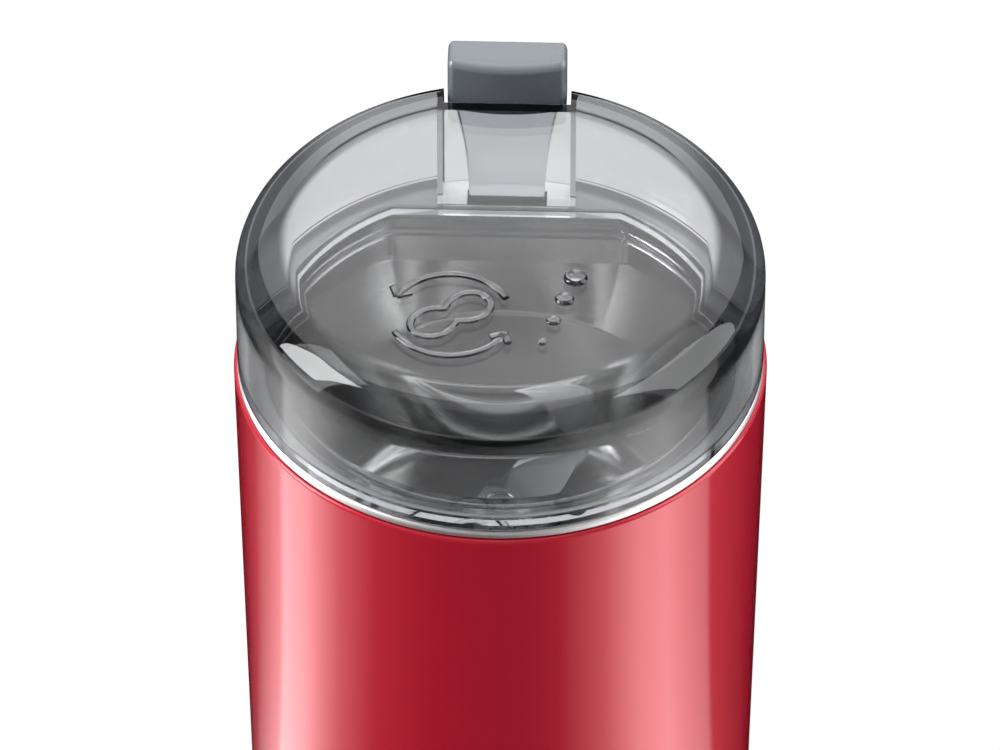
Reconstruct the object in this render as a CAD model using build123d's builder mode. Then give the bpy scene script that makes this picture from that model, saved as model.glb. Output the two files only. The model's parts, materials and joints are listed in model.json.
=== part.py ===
from build123d import *
from math import cos, radians, sin, sqrt
import os

# Electric blade grinder, free standing. Millimetres, +Z up, origin on the floor
# under the motor axis, front towards -Y, push button at the rear.

# Clearances
fit_gap = 0.05  # pieces pressed or screwed together
run_gap = 0.05  # a turning shaft in its bush or seal, on the radius
slide_gap = 0.1  # a plunger or brush in its guide
free_gap = 0.3  # moving pieces past fixed ones
lid_gap = 0.2  # lid above the bowl lip it rests on
overrun = 1.0  # cuts run past the faces they open

# Body shell
body_rim_r = 44.0  # outside radius at the top edge
body_base_r = 42.0  # outside radius at the bottom edge
shell_h = 129.0
shell_wall = 2.2
rim_round = 0.9
base_round = 0.6

# Base cover and feet
foot_proud = 1.6
foot_r = 5.0
foot_seat_depth = 1.2
foot_round = 0.5
foot_count = 4
plinth_h = 7.4
plinth_set_back = 0.9
plinth_round = 1.2
base_floor_t = 2.8
spigot_h = 4.0
spigot_wall = 2.0
spigot_gap = 0.3
vent_count = 12
vent_inset = 13.0  # vent centres inside the tie screws
vent_length = 11.0
vent_width = 2.4

# Tie posts and screws that clamp the shell between base and bowl lip
post_count = 4
post_inset = 0.5  # tie posts inside the spigot
post_r = 4.0
post_h = 41.0
post_start_angle = 45.0
screw_r = 1.5
screw_head_r = 2.9
screw_head_h = 2.2
screw_sink = 0.8
tie_grip = 12.0
slot_width = 0.8
slot_depth = 1.0

# Lead inlet at the rear of the shell
inlet_height = 11.0  # above the shell's bottom edge
inlet_r = 5.0
inlet_bore_r = 3.4
inlet_flange_r = 6.4
inlet_flange_t = 1.4
inlet_depth = 4.5
inlet_round = 0.5

# Grinding bowl
bowl_wall = 0.8
lip_h = 1.25
lip_set_back = 0.6
lip_round = 0.4
lip_w = 4.6
mouth_depth = 9.0
taper_h = 12.0
mouth_step = 5.8  # chamber radius inside the mouth radius
bowl_depth = 44.0
floor_round = 7.0
flat_gap = 0.5  # bowl's rear flat in front of the lid's pocket
stud_circle_r = 20.0
stud_count = 3
stud_start_angle = 30.0
stud_r = 1.5
nut_across = 5.5
nut_t = 2.4
stud_tail = 1.2
seal_hole_r = 6.0
seal_flange_r = 8.5
seal_flange_t = 1.2
seal_depth = 3.0
seal_round = 0.4

# Lid
lid_h = 24.5
lid_wall = 2.4
lid_shoulder = 8.0
lid_ledge_t = 2.0
lid_edge_round = 0.5
skirt_h = 4.0
skirt_wall = 1.5
skirt_gap = 0.4
pocket_wall = 1.6
pocket_side_gap = 0.75
pocket_gap = 0.6

# Push button and its stem
button_travel = 4.0
cap_w = 19.8
cap_depth = 7.5
cap_h = 10.8
cap_bow = 1.5
cap_above_lid = 7.0
cap_corner = 1.2
cap_edge = 1.0
tenon_w = 11.0
tenon_h = 6.0
stem_t = 3.2
stem_set_back = 1.6
stem_top_w = 17.0
stem_w = 12.5
stem_waist = 0.6  # how far each side of the stem is drawn in
stem_slot_gap = 1.4
stem_room = 1.1  # stem inside the shell wall, at the stem's foot
guide_rib_t = 1.5
guide_rib_h = 40.0
guide_drop = 4.0
guide_gap = 0.6
foot_arm_w = 10.0
foot_arm_t = 3.0
foot_below_bowl = 2.2

# Bowl carrier
carrier_t = 4.0
carrier_rim_gap = 0.5
carrier_below_bowl = 4.2
carrier_hole_r = 9.5
pad_r = 4.6
cheek_t = 3.0
cheek_depth = 8.0

# Switch
switch_w = 15.0
switch_d = 10.0
switch_h = 14.0
switch_room = 3.0  # switch inside the shell wall
plunger_r = 2.0
plunger_guide = 7.0
plunger_float = 1.0
spring_room = 8.0
spring_wire = 0.7
spring_r = 3.4
spring_turns = 4
terminal_w = 4.8
terminal_t = 0.8
terminal_h = 8.0
terminal_x = 4.0
switch_screw_r = 1.2
switch_screw_head_r = 2.2
switch_screw_head_h = 1.4
switch_screw_bite = 3.0

# Motor mounts
mount_inset = 4.5
mount_r = 4.8
mount_h = 7.0

# Motor frame
bracket_t = 3.0
bracket_foot_r = 4.0
bolt_r = 1.6
bolt_head_r = 2.8
bolt_head_h = 2.0
coil_head_room = 8.0
bush_r = 6.0
bush_flange_r = 8.0
bush_flange_t = 1.5
bush_rise = 4.5
lower_arm_w = 14.0
lower_arm_reach = 26.5

# Stator and field coils, in shares of the stack's outside radius
motor_gap = 3.0  # stack inside the tie posts
stack_h_share = 0.248  # of the height between base floor and carrier
stack_w_share = 1.846
stack_d_share = 1.615
armature_share = 0.5
pole_half_share = 0.346
window_start_share = 0.365
window_x_share = 0.708
window_y_share = 0.596
coil_start_share = 0.546
air_gap = 0.5
coil_clear = 0.3
coil_head = 5.0
coil_round = 2.0

# Rotor
shaft_r = 3.0
shaft_tail = 2.5
armature_slots = 12
slot_floor_share = 0.54  # of the armature's radius
slot_mouth_w = 2.2
winding_inset = 1.6
winding_hub_r = 4.6
winding_head = 5.0
commutator_share = 0.692  # of the armature's radius
commutator_h_share = 0.124  # of the height between base floor and carrier
commutator_gap = 1.4
segment_cut_w = 0.5
segment_cut_depth = 0.8
washer_r = 5.0
washer_t = 0.8

# Brushes
brush_side = 6.0
brush_length = 9.5
brush_box_wall = 1.0
brush_box_length = 16.0
brush_box_start = 2.0
brush_spring_wire = 0.5
brush_spring_turns = 5

# Blade
hub_r = 8.0
hub_h = 5.2
hub_lift = 0.6
hub_chamfer = 1.2
blade_gap = 6.0  # blade tips inside the chamber wall
blade_root_w = 12.0
blade_tip_w = 8.0
blade_t = 1.6
blade_flat_half = 11.0
blade_tip_rise = 4.6
blade_thread_r = 2.5
blade_turn = 58.0  # degrees from +X at rest
blade_nut_across = 9.0
blade_nut_h = 3.4
blade_nut_chamfer = 0.7

# Electrics
capacitor_w = 18.0
capacitor_d = 8.0
capacitor_h = 14.0
capacitor_room = 5.2  # capacitor inside the spigot
capacitor_round = 1.0
lead_r = 0.9
lead_bend_r = 7.0

# Heights worked out from the sizes above
shell_z = foot_proud + plinth_h
rim_z = shell_z + shell_h
lip_top = rim_z + lip_h
floor_z = rim_z - bowl_depth
bowl_under = floor_z - bowl_wall
carrier_top = bowl_under - carrier_below_bowl
carrier_z = carrier_top - carrier_t
upper_bracket_top = carrier_z - mount_h
upper_bracket_z = upper_bracket_top - bracket_t
base_floor_top = foot_proud + base_floor_t
motor_room = carrier_z - base_floor_top
stack_h = motor_room * stack_h_share
commutator_h = motor_room * commutator_h_share
stack_top = upper_bracket_z - coil_head_room
stack_z = stack_top - stack_h
winding_z = stack_z - winding_head
winding_top = stack_top + winding_head
commutator_top = winding_z - commutator_gap
commutator_z = commutator_top - commutator_h
lower_bush_top = commutator_z - washer_t - free_gap
lower_bracket_top = lower_bush_top - bush_rise + bracket_t
lower_bracket_z = lower_bracket_top - bracket_t
brush_z = commutator_z + commutator_h / 2
upper_washer_z = winding_top + fit_gap
upper_bush_z = upper_washer_z + washer_t + free_gap
post_top = base_floor_top + post_h
hub_z = floor_z + seal_flange_t + hub_lift
blade_z = hub_z + hub_h
shaft_z = lower_bracket_z - bush_flange_t - shaft_tail
blade_nut_z = blade_z + blade_t
shaft_top = blade_nut_z + blade_nut_h - blade_nut_chamfer
lid_z = lip_top + lid_gap
lid_top = lid_z + lid_h
cap_top = lid_top + cap_above_lid
cap_z = cap_top - cap_h
foot_arm_top = bowl_under - foot_below_bowl
foot_arm_z = foot_arm_top - foot_arm_t
switch_top = foot_arm_z - spring_room
switch_z = switch_top - switch_h


def shell_radius(z):
    """Outside radius of the drafted shell at height z."""
    return body_base_r + (body_rim_r - body_base_r) * (z - shell_z) / shell_h


def room_inside(z, gap, half_width):
    """How far from the axis a piece of a half width reaches inside the shell at height z."""
    return sqrt((shell_radius(z) - shell_wall - gap) ** 2 - half_width**2)


def polar(radius, angle):
    """Plan point at a radius and an angle in degrees."""
    return (radius * cos(radians(angle)), radius * sin(radians(angle)))


def polar_places(count, radius, start):
    """Plan points of a round pattern."""
    return [polar(radius, start + 360 * index / count) for index in range(count)]


# Places worked out from the sizes above
lip_r = body_rim_r - lip_set_back
mouth_r = lip_r - lip_w
chamber_r = mouth_r - mouth_step
blade_r = chamber_r - blade_gap
lid_inner_r = lip_r - lid_wall
plinth_r = body_base_r - plinth_set_back
spigot_r = body_base_r - shell_wall - spigot_gap
spigot_inner_r = spigot_r - spigot_wall
post_circle_r = spigot_inner_r - post_inset - post_r
vent_circle_r = post_circle_r - vent_inset
stem_rear_y = min(room_inside(foot_arm_z, stem_room, stem_w / 2), room_inside(rim_z, stem_room, stem_w / 2))
stem_front_y = stem_rear_y - stem_t
tenon_y = (stem_front_y + stem_rear_y) / 2
cap_front_y = stem_front_y - stem_set_back
pocket_front_y = cap_front_y - pocket_gap
mouth_flat_y = pocket_front_y - flat_gap
pocket_w = cap_w + 2 * pocket_side_gap
stem_slot_w = stem_w + 2 * stem_slot_gap
plunger_y = room_inside(switch_z, switch_room, switch_w / 2) - switch_d / 2
stack_round_r = post_circle_r - post_r - motor_gap
stack_w = stack_round_r * stack_w_share
stack_d = stack_round_r * stack_d_share
armature_r = stack_round_r * armature_share
stack_bore_r = armature_r + air_gap
pole_half_w = stack_round_r * pole_half_share
window_inner_x = stack_round_r * window_start_share
window_x = stack_round_r * window_x_share
window_y = stack_round_r * window_y_share
coil_inner_x = stack_round_r * coil_start_share
coil_outer_x = window_x - coil_clear
coil_inner_y = pole_half_w + coil_clear
coil_outer_y = window_y - coil_clear
slot_floor_r = armature_r * slot_floor_share
winding_r = armature_r - winding_inset
commutator_r = armature_r * commutator_share
mount_x = stack_round_r - mount_inset
bolt_y = (stack_bore_r + stack_d / 2) / 2
brush_box_side = brush_side + 2 * slide_gap + 2 * brush_box_wall
brush_box_x = commutator_r + brush_box_start
brush_box_end = brush_box_x + brush_box_length
arm_pad_x = (brush_box_x + lower_arm_reach) / 2 + brush_box_wall
capacitor_y = sqrt((spigot_inner_r - capacitor_room) ** 2 - (capacitor_w / 2) ** 2) - capacitor_d / 2

post_places = polar_places(post_count, post_circle_r, post_start_angle)
foot_places = polar_places(foot_count, post_circle_r, 0)
stud_places = polar_places(stud_count, stud_circle_r, stud_start_angle)
mount_places = [(-mount_x, 0), (mount_x, 0)]
bolt_places = [(0, -bolt_y), (0, bolt_y)]


def discs(places, radius, z, height, bore=0):
    """Upright round solids at the given plan points, bored if a bore is given."""
    with BuildPart() as made:
        with BuildSketch(Plane.XY.offset(z)):
            with Locations(*places):
                Circle(radius)
                if bore > 0:
                    Circle(bore, mode=Mode.SUBTRACT)
        extrude(amount=height)
    return made


def headed_screws(places, shank_r, head_r, head_h, z, length):
    """Upright screws with the slotted head at the bottom, at height z."""
    with BuildPart() as made:
        with BuildSketch(Plane.XY.offset(z)):
            with Locations(*places):
                Circle(head_r)
        extrude(amount=head_h)
        with BuildSketch(Plane.XY.offset(z + head_h)):
            with Locations(*places):
                Circle(shank_r)
        extrude(amount=length)
        with BuildSketch(Plane.XY.offset(z)):
            with Locations(*places):
                Rectangle(2 * head_r + overrun, slot_width)
        extrude(amount=slot_depth, mode=Mode.SUBTRACT)
    return made


def coil_spring(place, direction, radius, wire, length, turns):
    """Compression spring along a direction, its first wire centre at the place."""
    with BuildPart() as made:
        with BuildLine() as path:
            Helix(length / turns, length, radius, center=place, direction=direction)
        with BuildSketch(Plane(origin=path.line @ 0, z_dir=path.line % 0)):
            Circle(wire / 2)
        sweep()
    return made


# Body shell: drafted tube with two guide ribs for the button stem at the rear
with BuildPart() as body_shell:
    with BuildSketch(Plane.XZ):
        with BuildLine():
            Polyline(
                (body_base_r - shell_wall, shell_z),
                (body_base_r, shell_z),
                (body_rim_r, rim_z),
                (body_rim_r - shell_wall, rim_z),
                close=True,
            )
        make_face()
    revolve(axis=Axis.Z)
    fillet(body_shell.edges().group_by(Axis.Z)[-1].sort_by(SortBy.RADIUS)[-1], rim_round)
    fillet(body_shell.edges().group_by(Axis.Z)[0].sort_by(SortBy.RADIUS)[-1], base_round)
    guide_z = rim_z - guide_drop - guide_rib_h
    guide_x = stem_w / 2 + guide_gap + guide_rib_t / 2
    guide_start_y = mouth_flat_y + bowl_wall + free_gap
    guide_shell_r = min(shell_radius(guide_z), shell_radius(guide_z + guide_rib_h)) - shell_wall / 2
    guide_end_y = sqrt(guide_shell_r**2 - guide_x**2)
    guide_mid_y = (guide_start_y + guide_end_y) / 2
    with BuildSketch(Plane.XY.offset(guide_z)):
        with Locations((-guide_x, guide_mid_y), (guide_x, guide_mid_y)):
            Rectangle(guide_rib_t, guide_end_y - guide_start_y)
    extrude(amount=guide_rib_h)
    inlet_z = shell_z + inlet_height
    with BuildSketch(Plane.XZ.offset(-shell_radius(inlet_z) / 2)):
        with Locations((0, inlet_z)):
            Circle(inlet_r + fit_gap)
    extrude(amount=-shell_radius(inlet_z), mode=Mode.SUBTRACT)

# Lead inlet bush, pushed into the shell's rear wall from outside
inlet_face_y = max(shell_radius(inlet_z - inlet_flange_r), shell_radius(inlet_z + inlet_flange_r))
with BuildPart() as inlet_bush:
    with BuildSketch(Plane.XZ.offset(-(inlet_face_y - inlet_depth))):
        with Locations((0, inlet_z)):
            Circle(inlet_r)
    extrude(amount=-inlet_depth)
    with BuildSketch(Plane.XZ.offset(-inlet_face_y)):
        with Locations((0, inlet_z)):
            Circle(inlet_flange_r)
    extrude(amount=-inlet_flange_t)
    fillet(inlet_bush.edges().group_by(Axis.Y)[-1], inlet_round)
    with BuildSketch(Plane.XZ.offset(-(inlet_face_y - inlet_depth))):
        with Locations((0, inlet_z)):
            Circle(inlet_bore_r)
    extrude(amount=-(inlet_depth + inlet_flange_t), mode=Mode.SUBTRACT)

# Base cover: floor with vents, plinth under the shell, spigot inside it, tie posts
with BuildPart() as base_cover:
    with BuildSketch(Plane.XY.offset(foot_proud)):
        Circle(plinth_r)
    extrude(amount=plinth_h)
    fillet(base_cover.edges().group_by(Axis.Z)[0], plinth_round)
    with BuildSketch(Plane.XY.offset(shell_z)):
        Circle(spigot_r)
    extrude(amount=spigot_h)
    with BuildSketch(Plane.XY.offset(base_floor_top)):
        Circle(spigot_inner_r)
    extrude(amount=shell_z + spigot_h - base_floor_top, mode=Mode.SUBTRACT)
    with BuildSketch(Plane.XY.offset(base_floor_top)):
        with Locations(*post_places):
            Circle(post_r)
    extrude(amount=post_h)
    with BuildSketch(Plane.XY.offset(foot_proud)):
        with Locations(*post_places):
            Circle(screw_r + slide_gap)
    extrude(amount=base_floor_t + post_h, mode=Mode.SUBTRACT)
    with BuildSketch(Plane.XY.offset(foot_proud)):
        with Locations(*post_places):
            Circle(screw_head_r + free_gap)
    extrude(amount=screw_sink + screw_head_h, mode=Mode.SUBTRACT)
    with BuildSketch(Plane.XY.offset(foot_proud)):
        with Locations(*foot_places):
            Circle(foot_r + fit_gap)
    extrude(amount=foot_seat_depth, mode=Mode.SUBTRACT)
    with BuildSketch(Plane.XY.offset(foot_proud)):
        with PolarLocations(vent_circle_r, vent_count, start_angle=180 / vent_count):
            SlotOverall(vent_length, vent_width)
    extrude(amount=base_floor_t, mode=Mode.SUBTRACT)

# Rubber feet, each seated in its recess
with BuildPart() as rubber_feet:
    with BuildSketch(Plane.XY):
        with Locations(*foot_places):
            Circle(foot_r)
    extrude(amount=foot_proud + foot_seat_depth)
    fillet(rubber_feet.edges().group_by(Axis.Z)[0], foot_round)

tie_screws = headed_screws(
    post_places,
    screw_r,
    screw_head_r,
    screw_head_h,
    foot_proud + screw_sink,
    post_top + tie_grip - foot_proud - screw_sink - screw_head_h,
)

# Grinding bowl: pressed steel, round chamber under a wider mouth with a rear flat
chamber_top = rim_z - mouth_depth - taper_h


def bowl_form(wall, top):
    """Solid of revolution of the bowl, grown by a wall, cut by the rear flat."""
    radius = chamber_r + wall
    bottom = floor_z - wall
    bend = floor_round + wall
    with BuildPart() as made:
        with BuildSketch(Plane.XZ):
            with BuildLine():
                Line((0, bottom), (radius - bend, bottom))
                JernArc((radius - bend, bottom), (1, 0), bend, 90)
                Polyline(
                    (radius, bottom + bend),
                    (radius, chamber_top),
                    (mouth_r + wall, chamber_top + taper_h),
                    (mouth_r + wall, top),
                    (0, top),
                    (0, bottom),
                )
            make_face()
        revolve(axis=Axis.Z)
        split(bisect_by=Plane.XZ.offset(-(mouth_flat_y + wall)), keep=Keep.TOP)
    return made.part


with BuildPart() as grinding_bowl:
    add(bowl_form(bowl_wall, rim_z))
    with BuildSketch(Plane.XY.offset(rim_z)):
        Circle(lip_r)
    extrude(amount=lip_h)
    fillet(grinding_bowl.edges().group_by(Axis.Z)[-1], lip_round)
    add(bowl_form(0, lip_top + overrun), mode=Mode.SUBTRACT)
    with BuildSketch(Plane.XY.offset(rim_z - overrun)):
        with Locations((0, tenon_y)):
            Rectangle(stem_slot_w, stem_t + 2 * guide_gap)
    extrude(amount=lip_h + 2 * overrun, mode=Mode.SUBTRACT)
    with BuildSketch(Plane.XY.offset(bowl_under)):
        Circle(seal_hole_r + fit_gap)
    extrude(amount=bowl_wall, mode=Mode.SUBTRACT)

# Shaft seal in the bowl floor
with BuildPart() as shaft_seal:
    with BuildSketch(Plane.XY.offset(floor_z - seal_depth)):
        Circle(seal_hole_r)
    extrude(amount=seal_depth)
    with BuildSketch(Plane.XY.offset(floor_z)):
        Circle(seal_flange_r)
    extrude(amount=seal_flange_t)
    fillet(shaft_seal.edges().group_by(Axis.Z)[-1], seal_round)
    with BuildSketch(Plane.XY.offset(floor_z - seal_depth)):
        Circle(shaft_r + run_gap)
    extrude(amount=seal_depth + seal_flange_t, mode=Mode.SUBTRACT)

# Bowl carrier: plate under the bowl with tie legs, bowl pads and switch cheeks
carrier_r = shell_radius(carrier_z) - shell_wall - carrier_rim_gap
cheek_x = switch_w / 2 + fit_gap + cheek_t / 2
stem_pass_w = stem_w + 2 * guide_gap
stem_pass_y = plunger_y - spring_r - spring_wire - free_gap
switch_screw_z = switch_z + switch_h / 2
with BuildPart() as bowl_carrier:
    with BuildSketch(Plane.XY.offset(carrier_z)):
        Circle(carrier_r)
    extrude(amount=carrier_t)
    with BuildSketch(Plane.XY.offset(carrier_top)):
        with Locations(*stud_places):
            Circle(pad_r)
    extrude(amount=carrier_below_bowl)
    with BuildSketch(Plane.XY.offset(post_top)):
        with Locations(*post_places):
            Circle(post_r)
    extrude(amount=carrier_z - post_top)
    with BuildSketch(Plane.XY.offset(switch_z)):
        with Locations((-cheek_x, plunger_y), (cheek_x, plunger_y)):
            Rectangle(cheek_t, cheek_depth)
    extrude(amount=carrier_z - switch_z)
    with BuildSketch(Plane.XY.offset(carrier_z)):
        Circle(carrier_hole_r)
        with Locations((0, (stem_pass_y + body_rim_r) / 2)):
            Rectangle(stem_pass_w, body_rim_r - stem_pass_y)
    extrude(amount=carrier_t, mode=Mode.SUBTRACT)
    with BuildSketch(Plane.XY.offset(carrier_z)):
        with Locations(*stud_places):
            Circle(stud_r + slide_gap)
        with Locations(*mount_places):
            Circle(screw_r + fit_gap)
    extrude(amount=carrier_t + carrier_below_bowl, mode=Mode.SUBTRACT)
    with BuildSketch(Plane.XY.offset(post_top)):
        with Locations(*post_places):
            Circle(screw_r + fit_gap)
    extrude(amount=tie_grip + overrun, mode=Mode.SUBTRACT)
    with BuildSketch(Plane.YZ.offset(-cheek_x - cheek_t)):
        with Locations((plunger_y, switch_screw_z)):
            Circle(switch_screw_r + slide_gap)
    extrude(amount=2 * (cheek_x + cheek_t), mode=Mode.SUBTRACT)

# Studs welded under the bowl floor, and the nuts that hold the carrier to them
stud_z = carrier_z - nut_t - stud_tail
bowl_studs = discs(stud_places, stud_r, stud_z, bowl_under - stud_z)
with BuildPart() as bowl_nuts:
    with BuildSketch(Plane.XY.offset(carrier_z - nut_t)):
        with Locations(*stud_places):
            RegularPolygon(nut_across / 2, 6, major_radius=False)
            Circle(stud_r + fit_gap, mode=Mode.SUBTRACT)
    extrude(amount=nut_t)

# Rubber mounts between carrier and motor, and their screws
motor_mounts = discs(mount_places, mount_r, upper_bracket_top, mount_h, screw_r + fit_gap)
mount_screws = headed_screws(
    mount_places,
    screw_r,
    screw_head_r,
    screw_head_h,
    upper_bracket_z - screw_head_h,
    bracket_t + mount_h + carrier_t - fit_gap,
)

# Upper motor bracket: plate on two feet that stand on the stack
with BuildPart() as upper_bracket:
    with BuildSketch(Plane.XY.offset(upper_bracket_z)):
        Circle(stack_round_r)
        Rectangle(2 * stack_round_r, 2 * (bolt_y + bracket_foot_r), mode=Mode.INTERSECT)
    extrude(amount=bracket_t)
    with BuildSketch(Plane.XY.offset(stack_top)):
        with Locations(*bolt_places):
            Circle(bracket_foot_r)
    extrude(amount=upper_bracket_z - stack_top)
    with BuildSketch(Plane.XY.offset(stack_top)):
        with Locations(*bolt_places):
            Circle(bolt_r + fit_gap)
        Circle(bush_r + fit_gap)
        with Locations(*mount_places):
            Circle(screw_r + slide_gap)
    extrude(amount=upper_bracket_top - stack_top, mode=Mode.SUBTRACT)

# Lower motor bracket: cross of two arms, feet under the stack, pads under the brush boxes
pad_height = brush_z - brush_box_side / 2 - lower_bracket_top
with BuildPart() as lower_bracket:
    with BuildSketch(Plane.XY.offset(lower_bracket_z)):
        Rectangle(2 * lower_arm_reach, lower_arm_w)
        Rectangle(lower_arm_w, 2 * (bolt_y + bracket_foot_r))
        Circle(bush_flange_r + bracket_t)
    extrude(amount=bracket_t)
    with BuildSketch(Plane.XY.offset(lower_bracket_top)):
        with Locations(*bolt_places):
            Circle(bracket_foot_r)
    extrude(amount=stack_z - lower_bracket_top)
    with BuildSketch(Plane.XY.offset(lower_bracket_top)):
        with Locations((-arm_pad_x, 0), (arm_pad_x, 0)):
            Rectangle(brush_box_length / 2, brush_box_side)
    extrude(amount=pad_height)
    with BuildSketch(Plane.XY.offset(lower_bracket_z)):
        with Locations(*bolt_places):
            Circle(bolt_r + fit_gap)
        Circle(bush_r + fit_gap)
    extrude(amount=stack_z - lower_bracket_z, mode=Mode.SUBTRACT)

# Plain bearings with a flange, one in each bracket
with BuildPart() as upper_bearing:
    with BuildSketch(Plane.XY.offset(upper_bush_z)):
        Circle(bush_r)
    extrude(amount=upper_bracket_top - upper_bush_z)
    with BuildSketch(Plane.XY.offset(upper_bracket_top)):
        Circle(bush_flange_r)
    extrude(amount=bush_flange_t)
    with BuildSketch(Plane.XY.offset(upper_bush_z)):
        Circle(shaft_r + run_gap)
    extrude(amount=upper_bracket_top + bush_flange_t - upper_bush_z, mode=Mode.SUBTRACT)
with BuildPart() as lower_bearing:
    with BuildSketch(Plane.XY.offset(lower_bracket_z)):
        Circle(bush_r)
    extrude(amount=bush_rise)
    with BuildSketch(Plane.XY.offset(lower_bracket_z - bush_flange_t)):
        Circle(bush_flange_r)
    extrude(amount=bush_flange_t)
    with BuildSketch(Plane.XY.offset(lower_bracket_z - bush_flange_t)):
        Circle(shaft_r + run_gap)
    extrude(amount=bush_rise + bush_flange_t, mode=Mode.SUBTRACT)

# Stator stack: two poles on the X axis inside a closed yoke
window_mid_x = (window_inner_x + window_x) / 2
window_mid_y = (pole_half_w + window_y) / 2
window_places = [(side * window_mid_x, end * window_mid_y) for side in (-1, 1) for end in (-1, 1)]
with BuildPart() as stator_core:
    with BuildSketch(Plane.XY.offset(stack_z)):
        Circle(stack_round_r)
        Rectangle(stack_w, stack_d, mode=Mode.INTERSECT)
        Circle(stack_bore_r, mode=Mode.SUBTRACT)
        with Locations(*window_places):
            Rectangle(window_x - window_inner_x, window_y - pole_half_w, mode=Mode.SUBTRACT)
        with Locations(*bolt_places):
            Circle(bolt_r + fit_gap, mode=Mode.SUBTRACT)
    extrude(amount=stack_h)

# Field coils: one flat ring round each pole
coil_inner_h = stack_h + 2 * coil_clear
coil_outer_h = stack_h + 2 * coil_head
with BuildPart() as field_coils:
    for side in (-1, 1):
        with BuildSketch(Plane.YZ.offset(side * (coil_inner_x + coil_outer_x) / 2)):
            with Locations((0, stack_z + stack_h / 2)):
                RectangleRounded(2 * coil_outer_y, coil_outer_h, coil_round)
                Rectangle(2 * coil_inner_y, coil_inner_h, mode=Mode.SUBTRACT)
        extrude(amount=(coil_outer_x - coil_inner_x) / 2, both=True)

# Through bolts of the motor, heads under the lower bracket
motor_bolts = headed_screws(
    bolt_places,
    bolt_r,
    bolt_head_r,
    bolt_head_h,
    lower_bracket_z - bolt_head_h,
    upper_bracket_top - lower_bracket_z,
)

# Brush boxes, brushes and their springs on the X axis
brush_start = commutator_r + free_gap
brush_end = brush_start + brush_length
spring_end = brush_box_end - brush_box_wall
with BuildPart() as brush_holders:
    for side in (-1, 1):
        with BuildSketch(Plane.YZ.offset(side * brush_box_x)):
            with Locations((0, brush_z)):
                Rectangle(brush_box_side, brush_box_side)
        extrude(amount=side * brush_box_length)
        with BuildSketch(Plane.YZ.offset(side * brush_box_x)):
            with Locations((0, brush_z)):
                Rectangle(brush_side + 2 * slide_gap, brush_side + 2 * slide_gap)
        extrude(amount=side * (brush_box_length - brush_box_wall), mode=Mode.SUBTRACT)
with BuildPart() as carbon_brushes:
    for side in (-1, 1):
        with BuildSketch(Plane.YZ.offset(side * brush_start)):
            with Locations((0, brush_z)):
                Rectangle(brush_side, brush_side)
        extrude(amount=side * brush_length)
brush_spring_r = brush_side / 2 - brush_spring_wire
brush_spring_start = brush_end + brush_spring_wire
brush_spring_length = spring_end - brush_end - 2 * brush_spring_wire
with BuildPart() as brush_springs:
    for side in (-1, 1):
        turned = coil_spring(
            (side * brush_spring_start, 0, brush_z),
            (side, 0, 0),
            brush_spring_r,
            brush_spring_wire,
            brush_spring_length,
            brush_spring_turns,
        )
        add(turned.part)

# Rotor shaft, stepped down where the blade sits
with BuildPart() as motor_shaft:
    with BuildSketch(Plane.XY.offset(shaft_z)):
        Circle(shaft_r)
    extrude(amount=blade_z - shaft_z)
    with BuildSketch(Plane.XY.offset(blade_z)):
        Circle(blade_thread_r)
    extrude(amount=shaft_top - blade_z)

# Armature: slotted stack, winding through the slots with a head at each end
slot_mid_r = (slot_floor_r + armature_r + overrun) / 2
bar_inner_r = slot_floor_r + slide_gap
with BuildPart() as armature_core:
    with BuildSketch(Plane.XY.offset(stack_z)):
        Circle(armature_r)
        Circle(shaft_r + fit_gap, mode=Mode.SUBTRACT)
        with PolarLocations(slot_mid_r, armature_slots):
            Rectangle(armature_r + overrun - slot_floor_r, slot_mouth_w, mode=Mode.SUBTRACT)
    extrude(amount=stack_h)
with BuildPart() as armature_windings:
    with BuildSketch(Plane.XY.offset(stack_z)):
        with PolarLocations((bar_inner_r + winding_r) / 2, armature_slots):
            Rectangle(winding_r - bar_inner_r, slot_mouth_w - 2 * slide_gap)
    extrude(amount=stack_h)
    for head_z in (winding_z, stack_top):
        with BuildSketch(Plane.XY.offset(head_z)):
            Circle(winding_r)
            Circle(winding_hub_r, mode=Mode.SUBTRACT)
        extrude(amount=winding_head)
with BuildPart() as commutator:
    with BuildSketch(Plane.XY.offset(commutator_z)):
        Circle(commutator_r)
        Circle(shaft_r + fit_gap, mode=Mode.SUBTRACT)
        with PolarLocations(commutator_r, armature_slots):
            Rectangle(2 * segment_cut_depth, segment_cut_w, mode=Mode.SUBTRACT)
    extrude(amount=commutator_h)
with BuildPart() as thrust_washers:
    for washer_z in (commutator_z - washer_t, upper_washer_z):
        with BuildSketch(Plane.XY.offset(washer_z)):
            Circle(washer_r)
            Circle(shaft_r + fit_gap, mode=Mode.SUBTRACT)
        extrude(amount=washer_t)

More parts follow.
